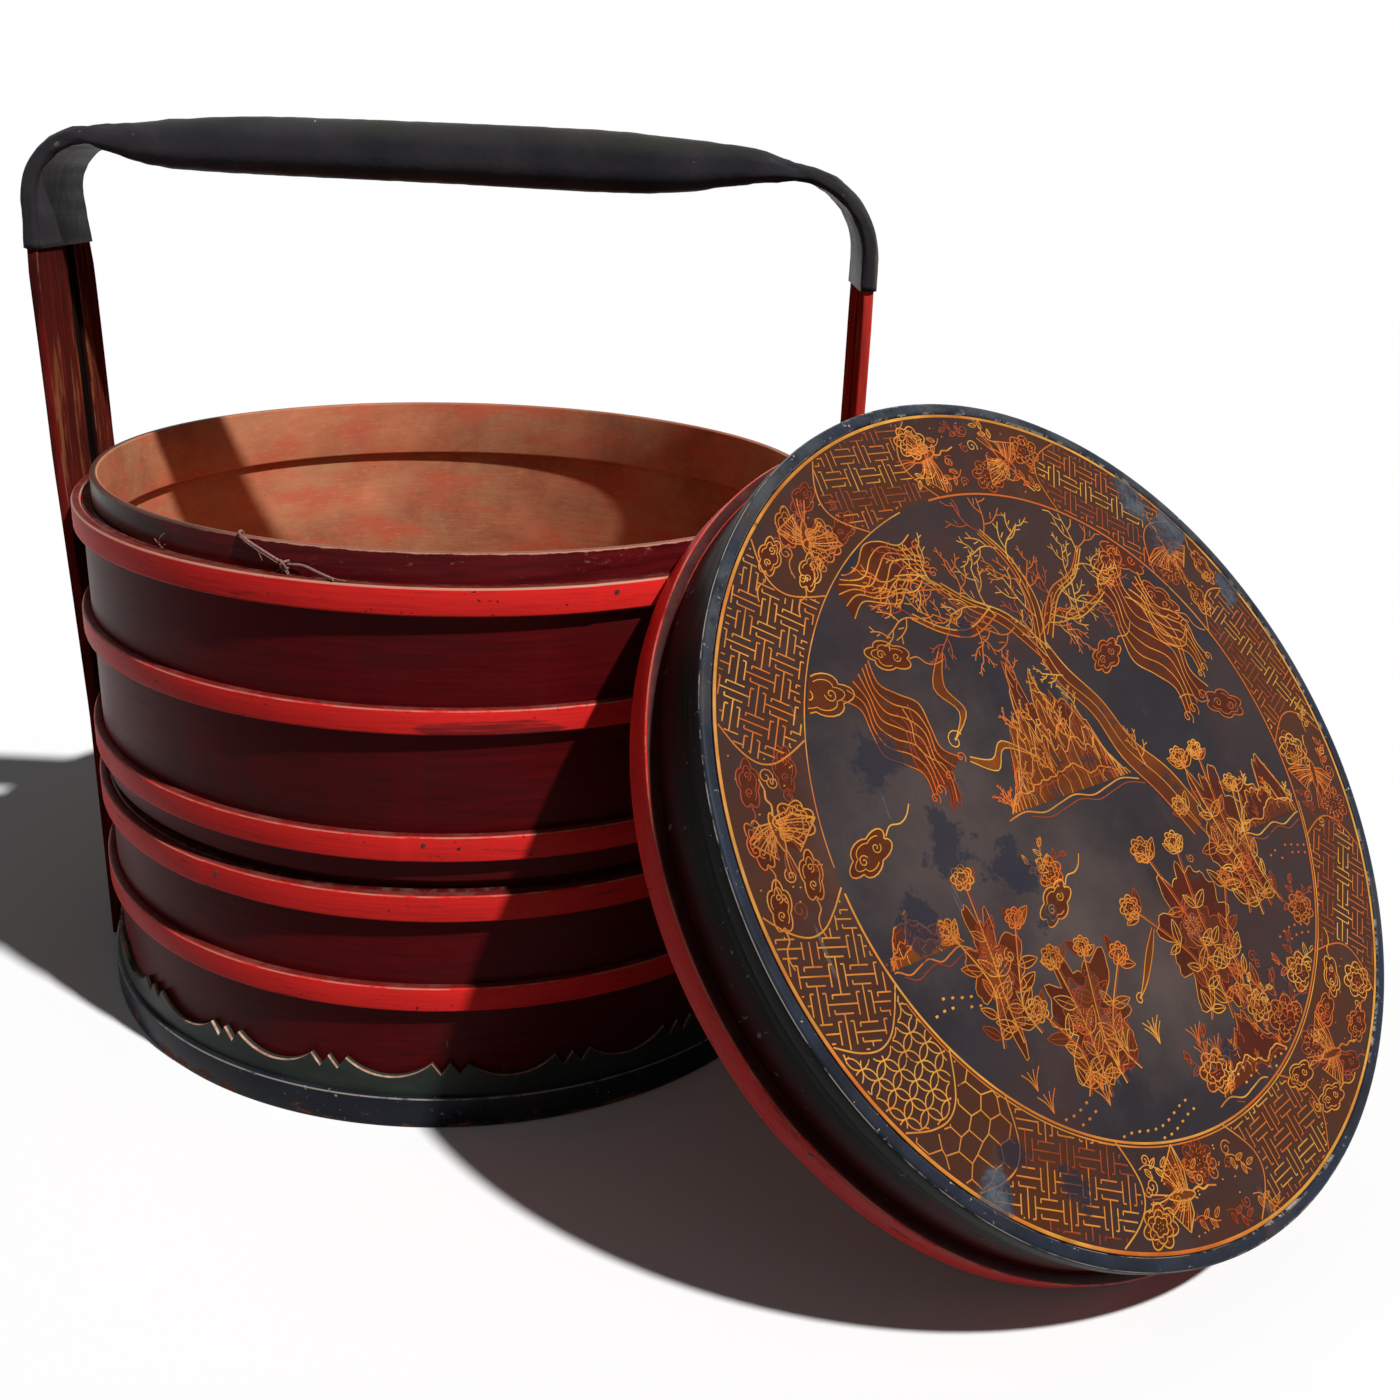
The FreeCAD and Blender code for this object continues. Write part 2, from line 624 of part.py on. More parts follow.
def build_upper_tier():
    floor_bottom = LOWER_COLLAR_TOP + SEAT_GAP + LEDGE_HEIGHT
    save("upper_wall", wall(UPPER_WALL_BOTTOM, UPPER_WALL_TOP))
    save("upper_floor", floor_board(floor_bottom))
    save("upper_floor_ledge", floor_ledge(floor_bottom - LEDGE_HEIGHT, floor_bottom))
    save("upper_collar", collar(UPPER_WALL_TOP, UPPER_COLLAR_RISE))
    names = [name for name in HOOPS if name not in NAILED_HOOPS]
    for name in names:
        save(name, tier_hoop(name))
    save("upper_pegs", tier_pegs(names))
    save("tie_cord", tie_cord())


def build_handle():
    front, rear = handle_strips()
    left, right = handle_fillers()
    save("handle_strip_front", front)
    save("handle_strip_rear", rear)
    save("handle_filler_left", left)
    save("handle_filler_right", right)
    lower_core, upper_core = grip_cores()
    save("grip_core_lower", lower_core)
    save("grip_core_upper", upper_core)
    save("grip_sheath", grip_sheath())
    save("handle_nails", handle_nails())


def build_lid():
    pieces = {"lid_wall": lid_wall, "lid_hoop": lid_hoop, "lid_pegs": lid_pegs, "lid_shoulder": lid_shoulder,
              "lid_edge_ring": lid_edge_ring, "lid_panel": lid_panel, "lid_inner_ring": lid_inner_ring}
    for name, make in pieces.items():
        save(name, leaned(make()))


os.makedirs("parts", exist_ok=True)
build_lower_tier()
build_upper_tier()
build_handle()
build_lid()
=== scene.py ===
import bpy
import bmesh
import json
import random
from math import atan2, cos, degrees, hypot, pi, radians, sin, sqrt, tan
from mathutils import Euler, Matrix, Vector, noise


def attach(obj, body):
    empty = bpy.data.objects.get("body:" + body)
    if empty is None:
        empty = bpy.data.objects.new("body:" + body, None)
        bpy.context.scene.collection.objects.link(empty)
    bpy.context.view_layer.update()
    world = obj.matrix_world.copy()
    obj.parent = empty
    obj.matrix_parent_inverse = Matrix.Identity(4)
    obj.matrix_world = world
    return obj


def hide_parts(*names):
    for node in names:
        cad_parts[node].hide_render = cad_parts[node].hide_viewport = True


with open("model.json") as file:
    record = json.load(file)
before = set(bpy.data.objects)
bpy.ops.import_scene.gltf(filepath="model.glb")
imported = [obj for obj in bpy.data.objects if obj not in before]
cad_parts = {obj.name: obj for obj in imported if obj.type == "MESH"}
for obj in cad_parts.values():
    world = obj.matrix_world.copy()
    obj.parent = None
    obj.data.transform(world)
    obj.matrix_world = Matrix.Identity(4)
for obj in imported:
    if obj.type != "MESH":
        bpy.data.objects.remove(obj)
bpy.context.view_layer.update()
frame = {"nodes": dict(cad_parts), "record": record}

bl_info = {
    "name": "Lidded bamboo basket",
    "version": (1, 0, 0),
    "blender": (4, 5, 0),
    "location": "3D View > Sidebar > Basket",
    "description": "Dresses the two-tier lacquered basket, its bail handle and its painted lid",
    "category": "Object",
}

# Lengths in the tables are millimetres, and the meshes are in metres
MM = 0.001
HANDLE_TURN = radians(-8.8)
LID_PLACE = (Matrix.Translation((0.268671, -0.216252, 0.166080))
             @ Euler((radians(49.95), 0.0, radians(29.67))).to_matrix().to_4x4())
HANDLE_PLACE = Matrix.Rotation(HANDLE_TURN, 4, "Z")
NODE_SLOTS = {part["node"]: part["material_slot"] for part in frame["record"]["subparts"]}
BODIES = frame["record"]["behaviour"]["bodies"]


def colour(name, text, value):
    return bpy.props.FloatVectorProperty(name=name, description=text, default=value, size=3, subtype="COLOR",
                                         min=0.0, max=1.0)


def number(name, text, value, **kind):
    return bpy.props.FloatProperty(name=name, description=text, default=value, **kind)


class BasketColours(bpy.types.PropertyGroup):
    red: colour("Red", "Lacquer of the hoops", (0.95, 0.029, 0.025))
    maroon: colour("Maroon", "Lacquer of the tiers' walls", (0.100, 0.0038, 0.0052))
    salmon: colour("Salmon", "Worn lacquer inside the tiers", (0.60, 0.205, 0.105))
    green: colour("Green", "Dark lacquer of the apron", (0.032, 0.042, 0.035))
    slate: colour("Slate", "Blue-black lacquer of the foot and the lid's bead", (0.018, 0.021, 0.030))
    bare: colour("Bare bamboo", "Edges where the lacquer has gone", (0.46, 0.30, 0.20))
    skin: colour("Skin", "Black skin of the grip", (0.029, 0.027, 0.031))
    ground: colour("Ground", "Ground of the lid's painting", (0.026, 0.021, 0.025))
    gold: colour("Gold", "Gold lines of the painting", (0.82, 0.39, 0.062))
    orange: colour("Orange", "Orange lines of the painting", (0.65, 0.118, 0.016))
    rust: colour("Rust", "Red-brown lines of the painting", (0.28, 0.030, 0.012))


class BasketSizes(bpy.types.PropertyGroup):
    waver: number("Waver", "How far a hand-bent hoop is out of true", 0.5 * MM, unit="LENGTH")
    lap_step: number("Lap step", "How far a hoop's outer end stands out", 0.45 * MM, unit="LENGTH")
    line_width: number("Line width", "Width of the painting's ordinary lines", 0.66 * MM, unit="LENGTH")
    wrinkle: number("Wrinkle", "Depth of the creases in the grip's skin", 0.35 * MM, unit="LENGTH")


class BasketLight(bpy.types.PropertyGroup):
    key_turn: number("Key turn", "Azimuth that the key light comes from", radians(-45.0), subtype="ANGLE")
    key_rise: number("Key rise", "Height of the key light above the horizon", radians(54.2), subtype="ANGLE")
    key_width: number("Key width", "Apparent width of the key light", radians(2.2), subtype="ANGLE")
    key_strength: number("Key", "Strength of the key light", 3.6)
    fill_strength: number("Fill", "Strength of the even light from all round", 0.07)
    floor_tone: number("Floor", "Brightness of the floor where the camera sees it", 1.0)
    floor_bounce: number("Floor bounce", "Share of light that the floor sends back up", 0.15)


# Node trees

class Value:
    """A socket's value. Sums with it add Math nodes, and a | b is the larger of the two."""

    def __init__(self, made, socket):
        self.made, self.socket = made, socket

    def __add__(self, other):
        return self.made.math("ADD", self, other)

    def __sub__(self, other):
        return self.made.math("SUBTRACT", self, other)

    def __rsub__(self, other):
        return self.made.math("SUBTRACT", other, self)

    def __mul__(self, other):
        return self.made.math("MULTIPLY", self, other)

    def __or__(self, other):
        return self.made.math("MAXIMUM", self, other)

    def __abs__(self):
        return self.made.math("ABSOLUTE", self)

    def band(self, low, high):
        """Runs from 0 at low to 1 at high."""
        return self.made.node("ShaderNodeMapRange", {"Value": self, "From Min": low, "From Max": high}, "Result",
                              clamp=True)


class Nodes:
    """A tree that is built up node by node."""

    def __init__(self, tree):
        self.tree = tree

    def node(self, kind, fed=None, output=0, **settings):
        """An output of a new node with these settings and inputs."""
        made = self.tree.nodes.new(kind)
        for name, value in settings.items():
            setattr(made, name, value)
        for key, value in (fed or {}).items():
            socket = made.inputs[key]
            if isinstance(value, Value):
                self.tree.links.new(value.socket, socket)
            else:
                socket.default_value = (*value, 1.0) if socket.type == "RGBA" else value
        return Value(self, made.outputs[output])

    def math(self, operation, a, b=0.0):
        return self.node("ShaderNodeMath", {0: a, 1: b}, operation=operation)

    def split(self, vector):
        first = self.node("ShaderNodeSeparateXYZ", {0: vector})
        return [Value(self, socket) for socket in first.socket.node.outputs]

    def long(self, x, y):
        return self.math("SQRT", x * x + y * y)

    def seen_directly(self):
        """1 for rays that show the background itself, to the eye or in a gloss."""
        ways = self.node("ShaderNodeLightPath").socket.node.outputs
        seen, gloss, clear = (Value(self, ways[name]) for name in
                              ("Is Camera Ray", "Is Glossy Ray", "Is Transmission Ray"))
        return seen | gloss | clear


# Finishes

EVEN = (1, 1, 1)


class Finish(Nodes):
    """A procedural material in the object's place, or in the lid's."""

    def __init__(self, name, roughness=0.4, coat=0.0, specular=0.3, lid=False):
        self.material = bpy.data.materials.new(name)
        self.material.use_nodes = True
        super().__init__(self.material.node_tree)
        self.shader = self.tree.nodes["Principled BSDF"]
        for socket, value in (("Roughness", roughness), ("Coat Weight", coat), ("Coat Roughness", 0.16),
                              ("Specular IOR Level", specular)):
            self.shader.inputs[socket].default_value = value
        given = self.node("ShaderNodeTexCoord").socket.node.outputs
        self.spot, facing = Value(self, given["Object"]), Value(self, given["Normal"])
        if lid:
            self.spot, facing = self.into_lid(self.spot, LID_PLACE.translation), self.into_lid(facing, (0, 0, 0))
        self.x, self.y, self.z = self.split(self.spot)
        self.nx, self.ny, self.nz = self.split(facing)

    def into_lid(self, vector, middle):
        return self.node("ShaderNodeMapping", {"Vector": vector, "Location": middle, "Rotation": LID_PLACE.to_euler()},
                         vector_type="TEXTURE")

    def noise(self, scale, stretch=EVEN, detail=4.0, rough=0.55, distortion=0.0):
        place = self.node("ShaderNodeMapping", {"Vector": self.spot, "Scale": stretch})
        return self.node("ShaderNodeTexNoise", {"Vector": place, "Scale": scale, "Detail": detail, "Roughness": rough,
                                                "Distortion": distortion}, "Fac")

    def mottle(self, low, high, *grain):
        """Patches of noise, from 0 where it is low to 1 where it is high."""
        return self.noise(*grain).band(low, high)

    def mix(self, share, a, b):
        return self.node("ShaderNodeMix", {0: share, 6: a, 7: b}, 2, data_type="RGBA")

    def over(self, tone, *layers):
        """Lays (share, tone) layers over a tone, one after another."""
        for share, upper in layers:
            tone = self.mix(share, tone, upper)
        return tone

    def reach(self):
        return self.long(self.x, self.y)

    def outward(self):
        """1 on a face that looks away from the axis, -1 on one that looks towards it."""
        return self.math("DIVIDE", self.x * self.nx + self.y * self.ny, self.reach() | 0.001)

    def window(self, start, end, core=0.75):
        """1 in the core between two azimuths in degrees, with soft ends."""
        middle, half = radians((start + end) / 2), radians((end - start) / 2)
        away = abs(self.math("ARCTAN2", self.y, self.x) - (middle - 2 * pi if middle > pi else middle))
        return self.math("MINIMUM", away, 2 * pi - away).band(half, half * core)

    def dabs(self, spots, ragged=3.0, start=0.50, full=0.66):
        """Ragged blots about (x, y, radius) places, in millimetres."""
        nearest = None
        for x, y, radius in spots:
            near = self.long(self.x - x * MM, self.y - y * MM).band(radius * MM, 0.0)
            nearest = nearest | near if nearest else near
        return (nearest + (self.noise(34.0, EVEN, 8.0, 0.68) - 0.5) * ragged).band(start, full)

    def bump(self, height, distance):
        normal = self.shader.inputs["Normal"]
        fed = {"Height": height, "Strength": 1.0, "Distance": distance}
        if normal.links:
            fed["Normal"] = Value(self, normal.links[0].from_socket)
        self.tree.links.new(self.node("ShaderNodeBump", fed).socket, normal)

    def done(self, tone, roughness=None):
        for socket, value in (("Base Color", tone), ("Roughness", roughness)):
            if value:
                self.tree.links.new(value.socket, self.shader.inputs[socket])
        return self.material


def tones():
    return bpy.context.scene.basket_colours


def shade(value, share):
    return tuple(channel * share for channel in value)


# Patches of the mottled old lacquer inside the tiers: share, low, high, grain, tone
SALMON_PATCHES = (
    (0.60, 0.46, 0.64, (16, (1, 1, 0.9), 6, 0.7), (0.50, 0.27, 0.14)),
    (0.65, 0.48, 0.66, (23, (1, 1, 3), 5), (0.60, 0.12, 0.065)),
    (0.55, 0.54, 0.72, (6, (1, 1, 0.8), 7, 0.7), (0.25, 0.085, 0.05)),
    (0.35, 0.55, 0.75, (150, (1, 1, 6), 3), (0.74, 0.36, 0.22)),
    (0.60, 0.70, 0.75, (260, EVEN, 3), (0.20, 0.07, 0.045)),
)


def salmon_inside(made):
    base = made.mix(made.mottle(0.36, 0.66, 11, (1, 1, 1.6), 6, 0.65), shade(tones().salmon, 0.60), (0.68, 0.26, 0.13))
    return made.over(base, *((made.mottle(low, high, *grain) * share, tone)
                             for share, low, high, grain, tone in SALMON_PATCHES))


def red_lacquer(lid=False):
    made = Finish("LidRedLacquer" if lid else "RedLacquer", 0.34, 0.02, 0.08, lid)
    red = tones().red
    slow, fine = made.noise(8, (1, 1, 2.5), 3), made.noise(34, (1, 1, 14))
    smear = made.mottle(0.60, 0.68, 3.2, (7, 7, 60), 6, 0.7)
    worn = made.nz.band(0.26, 0.44) * made.nz.band(0.80, 0.62) * made.mottle(0.40, 0.56, 48, EVEN, 6, 0.7)
    top, dusty = ((0.045, 0.008, 0.008), 0.15) if lid else ((0.15, 0.013, 0.012), 0.45)
    if not lid:
        level = abs(made.z - 0.2220).band(0.0062, 0.0008)
        ragged = made.window(260.5, 284.5, 0.25) * level + made.noise(11, (2, 2, 26), 6, 0.7) * 0.9
        smear = smear * 0.7 | ragged.band(0.72, 0.84) * made.mottle(0.26, 0.52, 13, (2, 2, 60), 5, 0.7)
        rim = made.nz.band(0.18, 0.42) * made.nz.band(0.97, 0.85) * made.z.band(0.275, 0.285)
        worn = worn | rim * made.mottle(0.30, 0.44, 40, EVEN, 5)
    specks = made.mottle(0.66, 0.69, 430, EVEN, 3) * made.mottle(0.48, 0.56, 38, EVEN, 3)
    ledge = made.mix(made.mottle(0.44, 0.66, 70, EVEN, 6, 0.72) * dusty, top, (0.24, 0.10, 0.075))
    tone = made.over(made.mix(slow.band(0.3, 0.7), shade(red, 0.80), shade(red, 1.06)),
                     (fine.band(0.5, 0.8) * 0.40, shade(red, 0.45)),
                     (smear * 0.8, (0.10, 0.018, 0.018)),
                     (specks, (0.035, 0.010, 0.010)),
                     (made.nz.band(0.70, 0.95), ledge),
                     (worn * 0.85, shade(tones().bare, 1.15)),
                     # Downward faces darker: painted shade under each hoop
                     (made.nz.band(-0.3, -0.7) * 0.6, (0.07, 0.012, 0.012)))
    made.bump(fine, 0.00022)
    made.bump(specks + worn, -0.00012)
    return made.done(tone, smear * 0.2 + slow.band(-1.0, 2.2))


def wall_lacquer():
    made = Finish("MaroonLacquer", 0.34, 0.0, 0.05)
    maroon = tones().maroon
    streaks = made.noise(20, (1, 1, 16), 5, 0.62)
    scratches = made.mottle(0.73, 0.755, 260, (1, 1, 0.07), 2) * made.mottle(0.58, 0.64, 16, EVEN, 2)
    edge = abs(made.nz).band(0.25, 0.6) * made.mottle(0.46, 0.6, 150)
    inner = made.outward().band(-0.2, -0.6) | made.nz.band(0.5, 0.9) * made.reach().band(0.2046, 0.2043)
    tone = made.over(made.mix(streaks.band(0.32, 0.68), shade(maroon, 0.62), shade(maroon, 1.15)),
                     (made.mottle(0.45, 0.7, 5, (1, 1, 2.2), 5, 0.6) * 0.55, (0.030, 0.012, 0.011)),
                     (made.mottle(0.5, 0.75, 60, (1, 1, 0.12), 3) * 0.30, shade(maroon, 1.5)),
                     (scratches * 0.6, (0.36, 0.25, 0.20)),
                     (edge * 0.45, shade(tones().bare, 0.3)),
                     (inner, salmon_inside(made)))
    made.bump(streaks, 0.00020)
    made.bump(made.noise(90, (1, 1, 0.15), 3), 0.00008)
    return made.done(tone, inner.band(-2.2, 3.2))


def collar_lacquer():
    made = Finish("CollarLacquer", 0.26, 0.02, 0.05)
    ragged = (made.noise(95, (1, 1, 2.5), 5, 0.7) - 0.5) * 1.9
    rim = (made.nz + ragged).band(0.28, 0.46) * made.nz.band(0.02, 0.16)
    pale = made.over(made.mix(made.noise(260, EVEN, 3), (0.62, 0.34, 0.24), (0.34, 0.13, 0.08)),
                     (made.nz.band(0.74, 0.90) * 0.85, (0.26, 0.080, 0.048)),
                     # Rim edge darker from azimuth 145 to 246, the side away from the key light: painted shade
                     (made.window(145, 246, 0.7) * 0.85, (0.050, 0.020, 0.016)))
    inner = made.outward().band(-0.1, -0.5)
    # Outer face darker from azimuth 150 to 252, the side away from the key light: painted shade
    dark = made.mottle(0.50, 0.62, 7, (1, 1, 2)) * made.window(150, 252) * 0.85
    tone = made.over(made.mix(made.mottle(0.35, 0.65, 30, (1, 1, 10)), (0.075, 0.0045, 0.006), (0.135, 0.0085, 0.010)),
                     (dark, (0.014, 0.011, 0.011)), (rim, pale), (inner, salmon_inside(made)))
    made.bump(made.noise(160, (1, 1, 0.6)), 0.00010)
    return made.done(tone, (inner | rim).band(-1.4, 3.4))


def foot_lacquer():
    made = Finish("FootLacquer", 0.42, 0.0, 0.08)
    slate = tones().slate
    scrapes = (made.noise(52, (1, 1, 2.6), 6, 0.65) + made.z.band(0.0085, 0.0012) * 0.15).band(0.655, 0.70)
    scrapes = scrapes * made.z.band(0.0125, 0.0095)
    line = made.nz.band(0.30, 0.5) * made.nz.band(0.86, 0.66) * made.mottle(0.30, 0.50, 140)
    chips = made.mottle(0.665, 0.69, 360, EVEN, 3) * made.mottle(0.5, 0.58, 30, EVEN, 2)
    tone = made.over(made.mix(made.mottle(0.35, 0.65, 26, (1, 1, 4), 5), shade(slate, 0.6), shade(slate, 1.05)),
                     (made.mottle(0.5, 0.7, 9, (1, 1, 1.5), 5) * 0.6, (0.045, 0.030, 0.024)),
                     (scrapes, made.mix(made.noise(200, EVEN, 3), (0.30, 0.10, 0.045), (0.16, 0.05, 0.03))),
                     (line * 0.85, (0.40, 0.36, 0.31)),
                     (chips, (0.42, 0.36, 0.30)))
    made.bump(scrapes + chips, -0.0002)
    made.bump(made.noise(70, (1, 1, 5)), 0.00012)
    return made.done(tone, scrapes.band(-1.6, 2.2))


def apron_lacquer():
    made = Finish("ApronLacquer", 0.38, 0.0, 0.08)
    green = tones().green
    cut = abs(made.outward()).band(0.85, 0.6) * made.reach().band(0.2112, 0.2117)
    worn = made.mix(made.mottle(0.35, 0.62, 210), (0.66, 0.42, 0.29), (0.36, 0.18, 0.12))
    tone = made.over(made.mix(made.mottle(0.35, 0.65, 22, (1, 1, 3), 5), shade(green, 0.65), shade(green, 1.2)),
                     (made.mottle(0.48, 0.68, 8, EVEN, 5) * 0.5, (0.040, 0.028, 0.024)),
                     (cut * made.mottle(0.30, 0.40, 60), worn))
    made.bump(made.noise(80, (1, 1, 4)), 0.00014)
    return made.done(tone)


def leg_lacquer():
    """Dark red at the left leg, brighter at the right one, rubbed bare half way up. The split is partly the lacquer's
    own, partly painted light on the lit right leg and painted shade on the left one.
    """
    made = Finish("LegLacquer", 0.50, 0.0, 0.0)
    lean, square = -sin(HANDLE_TURN), cos(HANDLE_TURN)
    fine = made.noise(16, (22, 22, 1.5), 6, 0.68)
    coarse, right = fine.band(0.34, 0.62), made.x.band(0.0, 0.05)
    bare = fine * 0.5 + made.noise(22, (5, 5, 1), 5) * 0.55 + abs(made.z - 0.335).band(0.11, 0.0) * 0.07
    bare = bare.band(0.60, 0.68)
    side = abs(made.nx * lean + made.ny * square)
    steep = side.band(0.45, 0.75)
    outside = abs(made.x * lean + made.y * square).band(0.017, 0.021)
    patches = made.mottle(0.42, 0.64, 20, (6, 6, 1), 5)
    # Right leg brighter, left leg darker: partly painted light on the lit right leg and painted shade on the left one
    redder = made.mix(right, made.mix(patches, (0.20, 0.016, 0.012), (0.050, 0.010, 0.009)),
                      made.mix(patches, (0.84, 0.060, 0.045), (0.52, 0.040, 0.030)))
    inner = made.mix(right * fine.band(0.20, 0.60), (0.030, 0.008, 0.007), (0.40, 0.024, 0.018))
    rim = side.band(0.2, 0.4) * side.band(0.9, 0.6) * made.mottle(0.50, 0.58, 30, (4, 4, 1))
    tone = made.over(made.mix(coarse, (0.045, 0.010, 0.008), (0.20, 0.022, 0.015)),
                     (made.mottle(0.50, 0.62, 9, (8, 8, 1.3)) * 0.75, (0.075, 0.014, 0.009)),
                     (right * 0.75, made.mix(coarse, (0.26, 0.022, 0.017), (0.50, 0.026, 0.020))),
                     (bare * 0.6, (0.36, 0.13, 0.050)),
                     (made.z.band(0.33, 0.40) * made.x.band(0.05, 0.0) * 0.6, (0.040, 0.009, 0.009)),
                     (steep * (1.0 - outside), inner),
                     (steep * outside * 0.92, redder),
                     (rim * 0.5, (0.36, 0.17, 0.11)))
    made.bump(fine, 0.00035)
    return made.done(tone, bare.band(-1.5, 2.6))


def sheath_black():
    made = Finish("SheathBlack", 0.38, 0.0, 0.04)
    skin = tones().skin
    # Paler skin on the right end's faces that look towards the key light: a painted highlight
    painted_highlight = made.nx.band(0.15, 0.75) * made.x.band(0.12, 0.20) * made.mottle(0.36, 0.60, 40, EVEN, 6, 0.65)
    scuffs = made.mottle(0.685, 0.72, 190, EVEN, 4, 0.6) * made.mottle(0.50, 0.60, 15, EVEN, 3)
    tone = made.over(made.mix(made.mottle(0.36, 0.66, 15, EVEN, 5, 0.62), shade(skin, 0.8), shade(skin, 1.5)),
                     # Upward faces paler and olive: an olive tint that also paints the highlight on the grip's top
                     (made.nz.band(0.3, 0.95) * made.mottle(0.34, 0.66, 12, EVEN, 5) * 0.7, (0.050, 0.048, 0.036)),
                     (painted_highlight * 0.8, (0.13, 0.12, 0.092)),
                     (scuffs, (0.40, 0.38, 0.36)))
    made.bump(made.noise(30, EVEN, 5, 0.6, 0.4), 0.0011)
    made.bump(made.noise(240), 0.00010)
    return made.done(tone, made.mottle(-0.9, 2.1, 26, EVEN, 5))


def lid_lacquer():
    made = Finish("LidLacquer", 0.32, 0.0, 0.03, True)
    streaks = made.noise(24, (1, 1, 8), 5, 0.62)
    near_hoop = made.z.band(0.044, 0.016) + made.noise(9, (1, 1, 3), 5) * 0.9
    worn = made.mottle(0.66, 0.70, 260, (1, 1, 0.5), 3) * made.mottle(0.48, 0.58, 26, EVEN, 3)
    under = made.outward().band(-0.2, -0.6) | made.nz.band(-0.5, -0.9) * made.reach().band(0.2060, 0.2056)
    tone = made.over(made.mix(streaks.band(0.35, 0.66), (0.006, 0.008, 0.006), (0.015, 0.018, 0.014)),
                     (near_hoop.band(0.72, 1.15), (0.042, 0.006, 0.006)),
                     (made.mottle(0.58, 0.64, 12, (1, 1, 4), 5, 0.65), (0.060, 0.009, 0.008)),
                     (worn, (0.30, 0.27, 0.23)),
                     (under, salmon_inside(made)))
    made.bump(streaks, 0.00025)
    made.bump(made.noise(45, EVEN, 5), 0.00020)
    return made.done(tone, under.band(-2.0, 3.0))


def lid_bead():
    made = Finish("LidBead", 0.42, 0.0, 0.05, True)
    slate = tones().slate
    left = made.x.band(-0.015, -0.090)
    upper = made.y.band(0.02, 0.12) * made.mottle(0.40, 0.60, 42, EVEN, 7, 0.7)
    line = left * made.nz.band(0.44, 0.52) * made.nz.band(0.70, 0.62) * made.mottle(0.40, 0.50, 60, EVEN, 5, 0.65)
    chips = made.mottle(0.50, 0.56, 150, EVEN, 5, 0.7) * made.nz.band(0.34, 0.50) * made.nz.band(0.97, 0.74)
    chips = chips * made.mottle(0.44, 0.56, 17) * left.band(0.9, 0.3)
    flecks = made.mottle(0.655, 0.69, 330) * made.mottle(0.46, 0.56, 44, EVEN, 3)
    bare = made.mix(made.noise(90, EVEN, 3), (0.60, 0.56, 0.50), (0.30, 0.22, 0.17))
    tone = made.over(made.mix(made.mottle(0.35, 0.65, 36, EVEN, 6, 0.65), shade(slate, 0.7), shade(slate, 1.5)),
                     (made.mottle(0.56, 0.66, 16, EVEN, 5), (0.060, 0.045, 0.040)),
                     (upper * 0.8, (0.070, 0.078, 0.086)),
                     (made.mottle(0.50, 0.62, 9, EVEN, 5, 0.6) * 0.6, (0.016, 0.026, 0.048)),
                     # Sideways faces at the lid's left nearly black: painted shade on the side away from the key light
                     (left * made.nz.band(0.64, 0.50), (0.008, 0.008, 0.009)),
                     (chips | line | flecks, bare))
    made.bump(chips + flecks, -0.00025)
    made.bump(made.noise(60, EVEN, 5), 0.00030)
    return made.done(tone)


# Places on the lid's face: x, y, radius
# Pale patches, partly a whitish bloom in the lacquer, partly a painted sheen of the key light's reflection
HAZE_AND_SHEEN_SPOTS = ((-92, 10, 92), (-40, -52, 80), (-4, -96, 60))
WORN_SPOTS = ((-118, 42, 34), (-94, 6, 34), (-66, -26, 33), (-128, -30, 22), (-104, -152, 18), (-128, -128, 12),
              (-86, 132, 16), (-30, 92, 9), (20, -134, 10))
FLAKED_SPOTS = ((158, 120, 36), (186, 84, 24), (138, 146, 22), (-148, -142, 20))


def lid_ground(made):
    """The painting's ground, and where it is worn."""
    ground = tones().ground
    warm = made.mottle(0.36, 0.62, 11, EVEN, 6, 0.62) * 0.75 + 0.22
    brown = made.mottle(0.47, 0.66, 7, EVEN, 7, 0.66) * 0.45 | made.reach().band(0.1600, 0.1620) * warm
    worn, flaked = made.dabs(WORN_SPOTS), made.dabs(FLAKED_SPOTS, 2.2)
    slate = made.mix(made.mottle(0.42, 0.60, 55, EVEN, 6, 0.7), (0.026, 0.035, 0.052), (0.085, 0.098, 0.115))
    tone = made.over(made.mix(made.mottle(0.34, 0.68, 13, EVEN, 7, 0.62), shade(ground, 0.78), shade(ground, 1.25)),
                     (brown * 0.98, (0.070, 0.020, 0.006)),
                     # Pale patches on the ground: partly a whitish bloom, partly a painted sheen of the key light's
                     # reflection
                     (made.dabs(HAZE_AND_SHEEN_SPOTS, 1.3, 0.05, 1.0) * 0.76, (0.098, 0.070, 0.062)),
                     (worn * 0.75, (0.016, 0.017, 0.030)),
                     (flaked, slate),
                     (made.mottle(0.70, 0.73, 150, (1, 0.12, 1), 3) * 0.30, (0.20, 0.17, 0.16)))
    return tone, worn | flaked


def lid_painting():
    made = Finish("LidGround", 0.40, 0.01, 0.05, True)
    tone, worn = lid_ground(made)
    made.bump(worn, -0.00012)
    made.bump(made.noise(55, EVEN, 6), 0.00022)
    return made.done(made.mix(made.nz.band(-0.5, -0.8), tone, salmon_inside(made)), made.mottle(-1.0, 2.4, 20, EVEN, 5))


